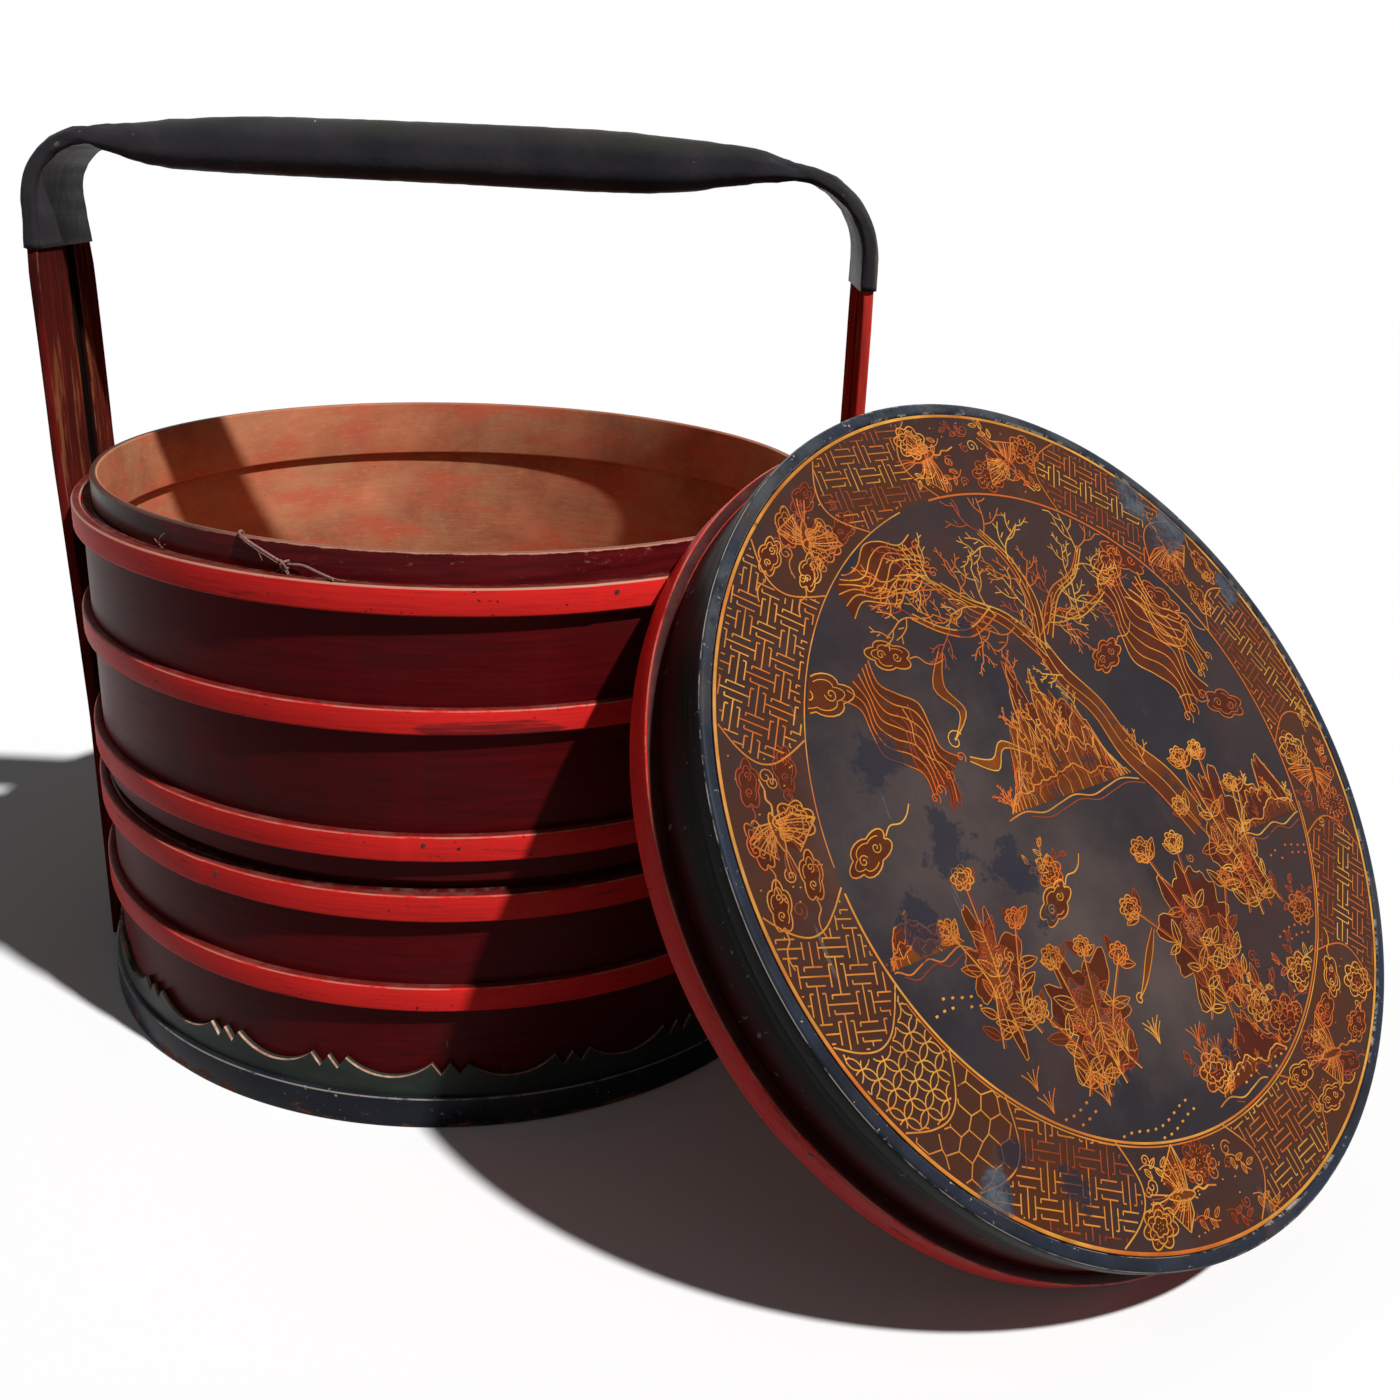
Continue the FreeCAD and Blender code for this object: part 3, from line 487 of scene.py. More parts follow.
def paint(name, main, other, thin):
    """Old paint that shifts between two tones and has gone where the ground is worn."""
    made = Finish(name, 0.42, 0.0, 0.06, True)
    turn = made.noise(9, EVEN, 5, 0.6) + made.x.band(-0.08, 0.16) * 0.06
    ground, worn = lid_ground(made)
    gone = worn | made.mottle(thin, thin + 0.08, 120, EVEN, 5, 0.7)
    return made.done(made.over(made.mix(turn.band(0.42, 0.58), main, other),
                               (made.mottle(0.38, 0.60, 14, EVEN, 5, 0.6) * 0.55, shade(other, 0.55)),
                               (made.mottle(0.35, 0.70, 75) * 0.55, shade(main, 0.40)),
                               (gone * 0.85, ground)))


def painted(key):
    gold, orange, rust = (tuple(tone) for tone in (tones().gold, tones().orange, tones().rust))
    main, other, thin = {"gold": (gold, orange, 0.64), "orange": (orange, gold, 0.66),
                         "rust": (rust, (0.42, 0.085, 0.025), 0.60),
                         "wash": ((0.115, 0.026, 0.004), (0.085, 0.012, 0.005), 0.56),
                         "amber": ((0.22, 0.060, 0.008), (0.11, 0.020, 0.006), 0.56)}[key]
    return paint("Paint" + key.title(), main, other, thin)


# Plain materials: roughness, specular, grain, its depth, where it turns, its two tones
PLAIN = {
    "groove_black": (0.62, 0.0, (12, (30, 30, 1), 5), 0.0003, (0.4, 0.7), (0.006, 0.005, 0.005), (0.030, 0.014, 0.011)),
    "peg_bamboo": (0.6, 0.3, (420,), 0.0002, (0.35, 0.65), (0.025, 0.010, 0.009), (0.14, 0.050, 0.035)),
    "nail_iron": (0.6, 0.3, (380, EVEN, 5), 0.0003, (0.4, 0.65), (0.025, 0.018, 0.016), (0.13, 0.050, 0.026)),
    "bare_wood": (0.7, 0.3, (10, (1, 22, 22), 5), 0.0002, (0.35, 0.65), (0.24, 0.13, 0.065), (0.46, 0.29, 0.16)),
    "cord_fibre": (0.85, 0.0, (1500, EVEN, 3), 0.0003, (0.35, 0.65), (0.20, 0.090, 0.085), (0.44, 0.25, 0.21)),
}


def plain(key):
    roughness, specular, grain, depth, turns, dark, light = PLAIN[key]
    made = Finish(joined(key), roughness, 0.0, specular)
    strands = made.noise(*grain)
    made.bump(strands, depth)
    tone = made.mix(strands.band(*turns), dark, light)
    if key == "cord_fibre":
        tone = made.mix(made.mottle(0.5, 0.65, 180, EVEN, 3) * 0.6, tone, (0.20, 0.09, 0.08))
    return made.done(tone)


LACQUERS = {"red_lacquer": red_lacquer, "lid_red": lambda: red_lacquer(lid=True), "maroon_lacquer": wall_lacquer,
            "collar_lacquer": collar_lacquer, "foot_lacquer": foot_lacquer, "apron_lacquer": apron_lacquer,
            "leg_lacquer": leg_lacquer, "sheath_black": sheath_black, "lid_lacquer": lid_lacquer,
            "lid_bead": lid_bead, "lid_painting": lid_painting}
made_finishes = {}


def joined(name):
    return "".join(word.title() for word in name.split("_"))


def finish_of(key):
    if key not in made_finishes:
        made_finishes[key] = LACQUERS[key]() if key in LACQUERS else plain(key) if key in PLAIN else painted(key)
    return made_finishes[key]


def finish_for(node):
    return finish_of("lid_red" if node == "lid_hoop" else NODE_SLOTS[node])


# Making meshes

class Shape(Nodes):
    """A Geometry Nodes tree with named numbers and a material as its inputs."""

    def __init__(self, name, numbers):
        super().__init__(bpy.data.node_groups.new(name, "GeometryNodeTree"))
        kinds = [("Geometry", "Geometry"), *((item, "Float") for item in numbers), ("Material", "Material")]
        for item, kind in kinds:
            self.tree.interface.new_socket(item, in_out="INPUT", socket_type="NodeSocket" + kind)
        self.tree.interface.new_socket("Geometry", in_out="OUTPUT", socket_type="NodeSocketGeometry")
        given = self.tree.nodes.new("NodeGroupInput").outputs
        self.given = {item: Value(self, given[item]) for item, kind in kinds}

    def attribute(self, name, kind):
        return self.node("GeometryNodeInputNamedAttribute", {"Name": name}, data_type=kind)

    def joined_up(self, x, y, z):
        return self.node("ShaderNodeCombineXYZ", {0: x, 1: y, 2: z})

    def ended(self, geometry, smooth=True):
        real = self.node("GeometryNodeRealizeInstances", {0: geometry})
        shaded = self.node("GeometryNodeSetShadeSmooth", {"Geometry": real, "Shade Smooth": smooth})
        painted = self.node("GeometryNodeSetMaterial", {"Geometry": shaded, "Material": self.given["Material"]})
        self.tree.links.new(painted.socket, self.tree.nodes.new("NodeGroupOutput").inputs[0])
        return self.tree


RING_INPUTS = ("Inner Radius", "Outer Radius", "Bottom", "Top", "Rounding", "Waver", "Lap Angle", "Lap Step", "Seed")
RING_STEPS = 540


def ring_tree():
    """A turned ring with rounded edges, a little out of true, whose last stretch laps over its first."""
    made = Shape("TurnedRing", RING_INPUTS)
    inner, outer, bottom, top, rounding, waver, lap_angle, lap_step, seed = (made.given[item] for item in RING_INPUTS)
    middle = (outer + inner) * 0.5
    section = made.node("GeometryNodeCurvePrimitiveQuadrilateral", {"Width": outer - inner, "Height": top - bottom})
    section = made.node("GeometryNodeFilletCurve", {"Curve": section, "Count": 4, "Radius": rounding}, mode="POLY")
    path = made.node("GeometryNodeCurvePrimitiveCircle", {"Resolution": RING_STEPS, "Radius": middle})
    swept = made.node("GeometryNodeCurveToMesh", {"Curve": path, "Profile Curve": section})
    x, y, z = made.split(made.node("GeometryNodeInputPosition"))
    angle, reach = made.math("ARCTAN2", y, x), made.long(x, y)
    cosine, sine = made.math("COSINE", angle), made.math("SINE", angle)
    around = made.joined_up(cosine, sine, seed)
    drift = (made.node("ShaderNodeTexNoise", {"Vector": around, "Scale": 2.4, "Detail": 1.5}, "Fac") - 0.5) * waver
    past = made.math("FRACT", made.math("DIVIDE", angle - lap_angle, 2 * pi))
    lapped = (past * 12.0 - 11.0 | 0.0) * made.math("GREATER_THAN", reach, middle) * lap_step
    moved = reach + (lapped + drift)
    target = made.joined_up(moved * cosine, moved * sine, z + (top + bottom) * 0.5 + drift * 0.6)
    return made.ended(made.node("GeometryNodeSetPosition", {"Geometry": swept, "Position": target}))


def stroke_tree():
    """Brush strokes: low ridges along the edges, as wide as each edge's half_width."""
    made = Shape("BrushStrokes", ("Ridge",))
    line = made.node("GeometryNodeMeshToCurve", {"Mesh": made.given["Geometry"]})
    section = made.node("GeometryNodeCurvePrimitiveCircle", {"Resolution": 4, "Radius": 1.0})
    squat = made.node("GeometryNodeTransform",
                      {"Geometry": section, "Scale": made.joined_up(1.0, made.given["Ridge"], 1.0)})
    swept = made.node("GeometryNodeCurveToMesh", {"Curve": line, "Profile Curve": squat, "Fill Caps": True,
                                                  "Scale": made.attribute("half_width", "FLOAT")})
    return made.ended(swept, False)


def stud_tree():
    """Domed heads on points, each turned as its point's turn says."""
    made = Shape("DomedHeads", ("Head Radius", "Dome"))
    dome = made.node("GeometryNodeMeshUVSphere", {"Segments": 20, "Rings": 12, "Radius": 1.0})
    spin = made.node("FunctionNodeEulerToRotation", {0: made.attribute("turn", "FLOAT_VECTOR")})
    size = made.joined_up(made.given["Dome"], made.given["Head Radius"], made.given["Head Radius"])
    return made.ended(made.node("GeometryNodeInstanceOnPoints", {
        "Points": made.given["Geometry"], "Instance": dome, "Rotation": spin, "Scale": size}))


def added(name, mesh):
    made = bpy.data.objects.new(name, mesh)
    bpy.context.collection.objects.link(made)
    return made


def grown(name, tree, values, seed_mesh=None, place=None):
    """The plain mesh object that a tree makes from these inputs."""
    seed = added("Seed", seed_mesh or bpy.data.meshes.new("Seed"))
    modifier = seed.modifiers.new("Tree", "NODES")
    modifier.node_group = tree
    sockets = {item.name: item.identifier for item in tree.interface.items_tree if item.in_out == "INPUT"}
    for key, value in values.items():
        modifier[sockets[key]] = value
    bpy.context.view_layer.update()
    graph = bpy.context.evaluated_depsgraph_get()
    mesh = bpy.data.meshes.new_from_object(seed.evaluated_get(graph))
    bpy.data.objects.remove(seed)
    if not mesh.polygons:
        raise RuntimeError(name + " came out empty")
    face_out(mesh)
    if place:
        mesh.transform(place)
    mesh.name = name
    return added(name, mesh)


def face_out(mesh):
    """Turns the faces of a mesh of closed shells outwards."""
    shells = bmesh.new()
    shells.from_mesh(mesh)
    if shells.calc_volume(signed=True) < 0:
        bmesh.ops.reverse_faces(shells, faces=shells.faces)
    shells.to_mesh(mesh)
    shells.free()


def settle(piece, node):
    """The piece stands for this CAD node and rides on its body."""
    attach(piece, next(body for body, held in BODIES.items() if node in held))
    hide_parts(node)


def swept_mesh(name, rings, finish, place):
    """A closed mesh through rings of points, in millimetres, with its length and its girth as UV."""
    shell = bmesh.new()
    layer = shell.loops.layers.uv.new("UVMap")
    rows = [[shell.verts.new(Vector(point) * MM) for point in ring] for ring in rings]
    along = [0.0]
    for before, after in zip(rows, rows[1:]):
        along.append(along[-1] + (after[0].co - before[0].co).length)
    count = len(rows[0])
    for index, (before, after) in enumerate(zip(rows, rows[1:])):
        for step in range(count):
            corners = (before[step], before[(step + 1) % count], after[(step + 1) % count], after[step])
            face = shell.faces.new(corners)
            face.smooth = True
            for loop, u, v in zip(face.loops, (0, 0, 1, 1), (0, 1, 1, 0)):
                loop[layer].uv = (along[index + u], (step + v) / count * 0.1)
    for row in (rows[0], rows[-1]):
        shell.faces.new(row)
    bmesh.ops.recalc_face_normals(shell, faces=shell.faces)
    mesh = bpy.data.meshes.new(name)
    shell.to_mesh(mesh)
    shell.free()
    mesh.transform(place)
    mesh.materials.append(finish)
    return added(name, mesh)


# Tiers and lid: inner radius, outer radius, bottom, top, rounding, waver share, lap azimuth or none
RINGS = {
    "lower_wall": (204.5, 209.5, 3.0, 135.0, 1.2, 0.5, None),
    "lower_second_hoop": (209.5, 214.5, 69.0, 83.0, 1.3, 1.0, 312.0),
    "lower_top_hoop": (209.5, 214.5, 120.0, 135.0, 1.3, 1.0, 232.0),
    "lower_collar": (200.0, 204.1, 114.0, 148.0, 1.1, 0.5, None),
    "foot_band": (209.5, 216.0, 0.0, 18.0, 1.5, 0.5, None),
    "upper_wall": (204.5, 209.5, 140.0, 290.0, 1.2, 0.5, None),
    "upper_bottom_hoop": (209.5, 214.5, 153.0, 167.0, 1.3, 1.0, 262.0),
    "upper_middle_hoop": (209.5, 214.5, 219.0, 232.0, 1.3, 1.0, 148.0),
    "upper_top_hoop": (209.5, 214.5, 277.0, 291.0, 1.3, 1.0, 286.5),
    "upper_collar": (200.0, 204.1, 269.0, 304.4, 1.2, 0.5, None),
}
LID_RINGS = {
    "lid_wall": (205.5, 210.5, 0.0, 46.0, 1.2, 0.5, None),
    "lid_hoop": (210.5, 216.7, 0.0, 16.0, 1.5, 0.9, 205.0),
    "lid_shoulder": (205.5, 212.1, 40.5, 46.0, 0.9, 0.3, None),
    "lid_edge_ring": (207.0, 213.6, 46.0, 56.0, 2.1, 0.5, None),
}


def make_rings(rows, place=None):
    sizes = bpy.context.scene.basket_sizes
    tree = bpy.data.node_groups.get("TurnedRing") or ring_tree()
    for seed, (node, row) in enumerate(rows.items()):
        *lengths, share, lap = row
        values = dict(zip(RING_INPUTS, (*(length * MM for length in lengths), sizes.waver * share, radians(lap or 0.0),
                                        sizes.lap_step if lap else 0.0, float(seed * 3 + 1))))
        settle(grown(joined(node), tree, {**values, "Material": finish_for(node)}, place=place), node)


# Handle, in its own frame: u along the bail's span, v across its width
LEG_OUT, SPLAYED_OUT, LEG_THICK = 220.2, 225.0, 5.5
BEND_LEFT, BEND_RIGHT = (-188.5, 438.0, 36.5), (180.5, 430.0, 44.5)
HANDLE_FOOT, HANDLE_TOP, TAPER_START, SHEATH_BOTTOM, BEND_BOTTOM = 1.5, 474.5, 400.0, 414.0, 250.0
HALF_WIDTH, WIDTH_TAPER, HALF_GROOVE, GROOVE_TAPER = 37.75, 11.75, 6.25, 4.25
GROOVE_SKEW = radians(1.72)
CORE_START, CORE_END, SKIN = -179.0, 163.5, 1.5
TOP_LINE = ((-188.5, 474.5), (-182.2, 475.6), (-138.3, 480.7), (-96.3, 483.5), (-33.5, 484.7), (40.3, 485.5),
            (80.9, 485.5), (103.0, 484.6), (143.6, 482.0), (167.6, 478.9), (180.5, 474.5))
UNDER_LINE = ((-188.5, 469.0), (-181.1, 466.1), (-160.8, 460.6), (-138.3, 458.5), (-7.7, 458.5), (91.9, 458.5),
              (125.2, 460.8), (139.9, 463.5), (162.1, 466.7), (175.0, 468.4), (180.5, 469.0))


def half_width(z):
    return HALF_WIDTH - max(z - TAPER_START, 0.0) * WIDTH_TAPER / (HANDLE_TOP - TAPER_START)


def half_groove(z):
    return HALF_GROOVE - max(z - TAPER_START, 0.0) * GROOVE_TAPER / (HANDLE_TOP - TAPER_START)


def bowed(spot):
    """The bail leans a little to the left towards its top."""
    share = 0.000070 - 0.00000008 * spot[0]
    return Vector((spot[0] - share * max(spot[2] - BEND_BOTTOM, 0.0) ** 2, spot[1], spot[2]))


def height_along(line, u):
    """A smooth height at u through a line's (u, height) points."""
    last = len(line) - 1
    index = next((k for k in range(last) if u <= line[k + 1][0]), last - 1)
    (u0, z0), (u1, z1) = line[index], line[index + 1]

    def slope(k):
        low, high = line[max(k - 1, 0)], line[min(k + 1, last)]
        return (high[1] - low[1]) / (high[0] - low[0])

    share = (u - u0) / (u1 - u0)
    cube, square = share ** 3, share ** 2
    return ((2 * cube - 3 * square + 1) * z0 + (cube - 2 * square + share) * (u1 - u0) * slope(index)
            + (3 * square - 2 * cube) * z1 + (cube - square) * (u1 - u0) * slope(index + 1))


def bend_points(bend, side, depth, steps):
    """Points of a bend at a depth under its outer face, from the leg to the top."""
    middle, level, radius = bend
    turns = [pi / 2 * step / steps for step in range(steps + 1)]
    return [(middle + side * (radius - depth) * cos(turn), level + (radius - depth) * sin(turn)) for turn in turns]


def leg_points(side, depth, low, high, step):
    count = max(int((high - low) / step), 1)
    heights = [low + (high - low) * index / count for index in range(count)]
    splay = [min(max(z - 150.0, 0.0) / 150.0, 1.0) * (SPLAYED_OUT - LEG_OUT) for z in heights]
    return [(side * (LEG_OUT + out - depth), z) for out, z in zip(splay, heights)]


def bail_line(depth, foot, step, bend_steps, span_steps, height):
    """Points up one leg, over the bail at this depth and down the other, where height gives the span's level."""
    left, right = [leg_points(side, depth, foot, bend[1], step) + bend_points(bend, side, depth, bend_steps)
                   for side, bend in ((-1, BEND_LEFT), (1, BEND_RIGHT))]
    span = [BEND_LEFT[0] + (BEND_RIGHT[0] - BEND_LEFT[0]) * k / span_steps for k in range(1, span_steps)]
    return left + [(u, height(u)) for u in span] + right[::-1]


def strip_line(depth):
    return bail_line(depth, HANDLE_FOOT, 12.0, 14, 20, lambda u: HANDLE_TOP - depth)


def rounded_corners(corners, radius, steps=3):
    """A ring of (depth share, across) corners with each corner rounded, where the first number is a length too."""
    ring = []
    for index, corner in enumerate(corners):
        here, before, after = Vector(corner), Vector(corners[index - 1]), Vector(corners[(index + 1) % len(corners)])
        start, end = (before - here).normalized() * radius, (after - here).normalized() * radius
        for step in range(steps + 1):
            turn = pi / 2 * step / steps
            ring.append(here + start * (1 - sin(turn)) + end * (1 - cos(turn)))
    return ring


def handle_strip(node, front):
    rings = []
    for (u0, z0), (u1, z1) in zip(strip_line(0.0), strip_line(LEG_THICK)):
        outer, inner = Vector((u0, z0)), Vector((u1, z1))
        middle = (outer + inner) / 2
        groove = half_groove(middle.y) / cos(GROOVE_SKEW)
        centre = -middle.x * tan(GROOVE_SKEW)
        edge = half_width(middle.y)
        low, high = (-edge, centre - groove) if front else (centre + groove, edge)
        ring = []
        for depth, v in rounded_corners([(0, low), (0, high), (LEG_THICK, high), (LEG_THICK, low)], 1.0):
            crown = 0.35 * (1 - ((v - (low + high) / 2) / ((high - low) / 2)) ** 2) * (1 - 2 * depth / LEG_THICK)
            spot = outer + (inner - outer) * ((depth - crown) / LEG_THICK)
            waver = 0.35 * noise.noise(Vector((middle.x * 0.02, middle.y * 0.02, 3.0 + (v > 0))))
            ring.append((spot.x, v + (waver if abs(v) < edge - 1.5 else 0.0), spot.y))
        rings.append(ring)
    settle(handle_mesh(node, rings), node)


def handle_mesh(node, rings):
    return swept_mesh(joined(node), [[bowed(spot) for spot in ring] for ring in rings], finish_for(node), HANDLE_PLACE)


def groove_filler(node, side):
    """The dark slip in one leg's groove, recessed from both faces."""
    rings = []
    near, far = [leg_points(side, depth, HANDLE_FOOT, SHEATH_BOTTOM, 12.0) + [(side * (SPLAYED_OUT - depth), SHEATH_BOTTOM)]
                 for depth in (0.7, 3.3)]
    for (u0, z0), (u1, z1) in zip(near, far):
        centre, half = -u0 * tan(GROOVE_SKEW), half_groove(z0) + 0.4
        low, high = centre - half, centre + half
        rings.append([(u0, low, z0), (u0, high, z0), (u1, high, z1), (u1, low, z1)])
    settle(handle_mesh(node, rings), node)


def grip_corner(thick):
    """Radius of the skin's rounded corners where it is this thick."""
    return thick * 0.36 + max(thick - 12.0, 0.0) * 0.08


def grip_core(node, upper):
    """The rounded swell on one side of the strips, under the skin."""
    flat = HANDLE_TOP if upper else HANDLE_TOP - LEG_THICK
    rings = []
    for k in range(101):
        u = CORE_START + (CORE_END - CORE_START) * k / 100
        top, under = height_along(TOP_LINE, u), height_along(UNDER_LINE, u)
        radius = grip_corner(top - under + 2 * SKIN) - 1.0
        crest = top if upper else under
        half = min(half_width(crest), half_width(flat)) - 0.3
        swell = max(abs(crest - flat), 0.1)
        reach = half if swell > radius else half - radius + sqrt(radius ** 2 - (radius - swell) ** 2)
        ring = []
        for step in range(25):
            v = reach * sin(pi / 2 * (step - 12) / 12)
            over = max(abs(v) - (half - radius), 0.0)
            rise = max(swell - radius + sqrt(max(radius ** 2 - over ** 2, 0.0)), 0.05)
            ring.append((u, v, flat + (rise if upper else -rise)))
        ring += [(u, v, flat) for u, v, z in ring[::-1]]
        rings.append(ring)
    settle(handle_mesh(node, rings), node)


def sheath_line(depth, line, off):
    return bail_line(depth, SHEATH_BOTTOM, 2.5, 22, 120, lambda u: height_along(line, u) + off)


def grip_sheath():
    crease = bpy.context.scene.basket_sizes.wrinkle / MM
    pairs = list(zip(sheath_line(-SKIN, TOP_LINE, SKIN), sheath_line(LEG_THICK + SKIN, UNDER_LINE, -SKIN)))
    rings = []
    travelled = 0.0
    for index, ((u0, z0), (u1, z1)) in enumerate(pairs):
        outer, inner = Vector((u0, z0)), Vector((u1, z1))
        thick = (outer - inner).length
        travelled += (outer - Vector(pairs[max(index - 1, 0)][0])).length
        high, low = half_width(outer.y) + SKIN, half_width(inner.y) + SKIN
        neck = max(0.0, 1 - abs(abs(inner.x) - 178.0) / 46.0)
        at_end = index in (0, len(pairs) - 1)
        corners = [(0, -high), (0, high), (thick, low), (thick, -low)]
        ring = []
        for place, (depth, v) in enumerate(rounded_corners(corners, grip_corner(thick), 8)):
            side = 1 - 2 * depth / thick
            crown = 0.7 * (1 - (v / high) ** 2) * side
            folds = noise.fractal(Vector((travelled * 0.10, place * 0.22, 0.0)), 1.0, 2.0, 3)
            lump = crease * (0.7 + 2.6 * neck) * folds
            spot = outer + (inner - outer) * ((depth - crown - lump * side) / thick)
            rise = 0.8 * noise.noise(Vector((place * 0.5, index * 1.0, 7.0))) if at_end else 0.0
            ring.append((spot.x, v + lump * (v / high) * 0.6, spot.y + rise))
        rings.append(ring)
    settle(handle_mesh("grip_sheath", rings), "grip_sheath")


NAIL_HEIGHTS, NAIL_INSET, NAIL_RADIUS, NAIL_RISE = (76.0, 127.5), 21.0, 3.3, 1.3


def handle_nails():
    mesh = bpy.data.meshes.new("NailPlaces")
    mesh.from_pydata([HANDLE_PLACE @ (Vector((side * (LEG_OUT + 0.1), v, z)) * MM)
                      for side in (1, -1) for v in (-NAIL_INSET, NAIL_INSET) for z in NAIL_HEIGHTS], [], [])
    for value in mesh.attributes.new("turn", "FLOAT_VECTOR", "POINT").data:
        value.vector = (0.0, 0.0, HANDLE_TURN)
    values = {"Head Radius": NAIL_RADIUS * MM, "Dome": NAIL_RISE * MM, "Material": finish_of("nail_iron")}
    settle(grown("HandleNails", stud_tree(), values, mesh), "handle_nails")


# Tie cord: azimuth, how far outside the rim, how far above the rim
RIM_RADIUS, RIM_HEIGHT = 204.1, 304.4
CORD_OUT, CORD_IN, CORD_THICK, KNOT_THICK, FRAY_THICK = 1.2, -5.3, 1.5, 1.3, 0.45
CORD_ROUTE = ((239.0, CORD_IN, -9.0), (239.1, CORD_IN, 1.4), (239.4, CORD_OUT, 1.4), (241.4, CORD_OUT, -2.4),
              (243.8, CORD_OUT, -6.2), (246.3, CORD_OUT, -10.4), (248.9, CORD_OUT + 0.6, -9.2),
              (251.2, CORD_OUT + 3.0, -11.6), (253.8, CORD_OUT + 8.6, -12.2))
# Knot turns and loose fibres, as runs of the same three numbers
KNOT_RUNS = (
    ((245.7, 1.0, -8.8), (245.9, 3.2, -8.0), (246.5, 3.6, -9.4), (246.7, 3.0, -11.9), (246.1, 1.4, -12.6),
     (245.6, 1.0, -10.8)),
    ((246.9, 1.0, -8.2), (246.5, 3.4, -8.4), (245.9, 3.8, -10.2), (246.3, 2.4, -12.4), (246.9, 1.0, -11.4)),
    ((246.2, 2.2, -12.2), (245.8, 1.6, -14.2), (246.2, 1.4, -16.4), (246.9, 1.5, -15.4), (246.6, 2.0, -12.6)),
)
FRAY_RUNS = (
    ((239.9, 1.9, 0.2), (241.6, 2.1, -3.6), (243.6, 2.0, -6.9), (245.8, 1.9, -10.6)),
    ((242.4, 1.9, -4.6), (243.0, 2.1, -7.6), (243.1, 1.8, -9.6)),
    ((246.4, 3.2, -12.0), (247.2, 3.4, -14.6), (247.0, 2.6, -17.2)),
    ((245.9, 2.8, -12.0), (245.2, 3.2, -13.6), (244.8, 2.4, -15.8)),
    ((253.4, 9.2, -11.4), (254.4, 9.9, -12.2), (255.3, 9.4, -12.7)),
    ((253.2, 9.0, -12.0), (254.1, 8.4, -12.6), (254.9, 7.6, -12.9)),
    ((225.1, 1.0, -14.4), (225.3, 2.6, -11.0), (225.8, 3.0, -8.4), (226.2, 1.4, -6.6)),
    ((225.5, 1.0, -14.4), (225.2, 2.8, -12.0), (224.7, 3.2, -9.8)),
    ((225.7, 1.0, -14.4), (226.2, 2.4, -12.4), (226.8, 3.0, -11.2)),
)


def rim_place(turn, off, rise):
    reach = (RIM_RADIUS + off) * MM
    return Vector((reach * cos(radians(turn)), reach * sin(radians(turn)), (RIM_HEIGHT + rise) * MM))


def fibre_curve(name, runs, thick):
    line = bpy.data.curves.new(name, "CURVE")
    line.dimensions = "3D"
    line.resolution_u = 10
    line.bevel_resolution = 3
    line.bevel_depth = thick / 2 * MM
    line.use_fill_caps = True
    for run in runs:
        spline = line.splines.new("NURBS")
        spline.points.add(len(run) - 1)
        for point, place in zip(spline.points, run):
            point.co = (*rim_place(*place), 1.0)
        spline.order_u = 3
        spline.use_endpoint_u = True
    line.materials.append(finish_of("cord_fibre"))
    return added(name, line)


def tie_cord():
    piece = fibre_curve("TieCord", [CORD_ROUTE], CORD_THICK)
    knot = fibre_curve("CordKnot", KNOT_RUNS, KNOT_THICK)
    frays = fibre_curve("CordFrays", FRAY_RUNS, FRAY_THICK)
    for extra in (knot, frays):
        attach(extra, "upper_tier")
    settle(piece, "tie_cord")
    tuple(rim_place(*CORD_ROUTE[0]))


# Painting on the lid, in the lid's own plane: x across, y up the slope, millimetres from the middle
PANEL_TOP, STROKE_RISE, FILM_THICK, FILM_STEP = 55.2, 0.16, 0.15, 0.0001
GARDEN_RADIUS, BORDER_IN, BORDER_MIDDLE, BORDER_OUT, SLANT = 159.5, 161.5, 183.5, 205.6, 4.5
FILM_LEVELS, STROKE_RIDGE = {"wash": 0.03, "amber": 0.08}, 0.22
LINES, WARM, MIXED = ("gold", "orange", "rust"), ("gold", "orange", "orange"), ("gold", "orange", "orange", "rust")
FRETS = ((38, 63, 8), (93, 113, -14), (131, 158, 2), (181, 197, -24), (221, 243, 10), (268, 286, 0), (315, 338, -8),
         (357, 382, 16))
GOLDEN_FRETS = (131, 181, 268)
CARTOUCHES = ((63, 93, "bloom"), (113, 131, "cloud"), (158, 181, "cloud"), (243, 268, "bloom"), (286, 315, "cloud"),
              (338, 357, "bloom"), (22, 38, "cloud"))
CIRCLE_NET, CRACKLE_NET = (197, 209.5), (209.5, 221)
CIRCLE_STEP, CRACKLE_STEP, KEY_STEP = 8.4, 6.2, 3.8
KEY_BARS = (((0.3, 0.5), (2.7, 0.5)), ((2.7, 0.5), (2.7, 0.95)), ((-0.5, 1.5), (3.5, 1.5)),
            ((0.3, 2.5), (2.7, 2.5)), ((2.7, 2.5), (2.7, 2.05)))


def polar(reach, turn):
    return (reach * cos(radians(turn)), reach * sin(radians(turn)))


def turned(x, y, off_x, off_y, turn):
    """The spot that lies off_x ahead of (x, y) and off_y to its left, looking along turn."""
    return (x + off_x * cos(turn) - off_y * sin(turn), y + off_x * sin(turn) + off_y * cos(turn))


def way(a, b):
    return atan2(b[1] - a[1], b[0] - a[0])


def way_at(spots, k):
    return way(spots[max(k - 1, 0)], spots[min(k + 1, len(spots) - 1)])


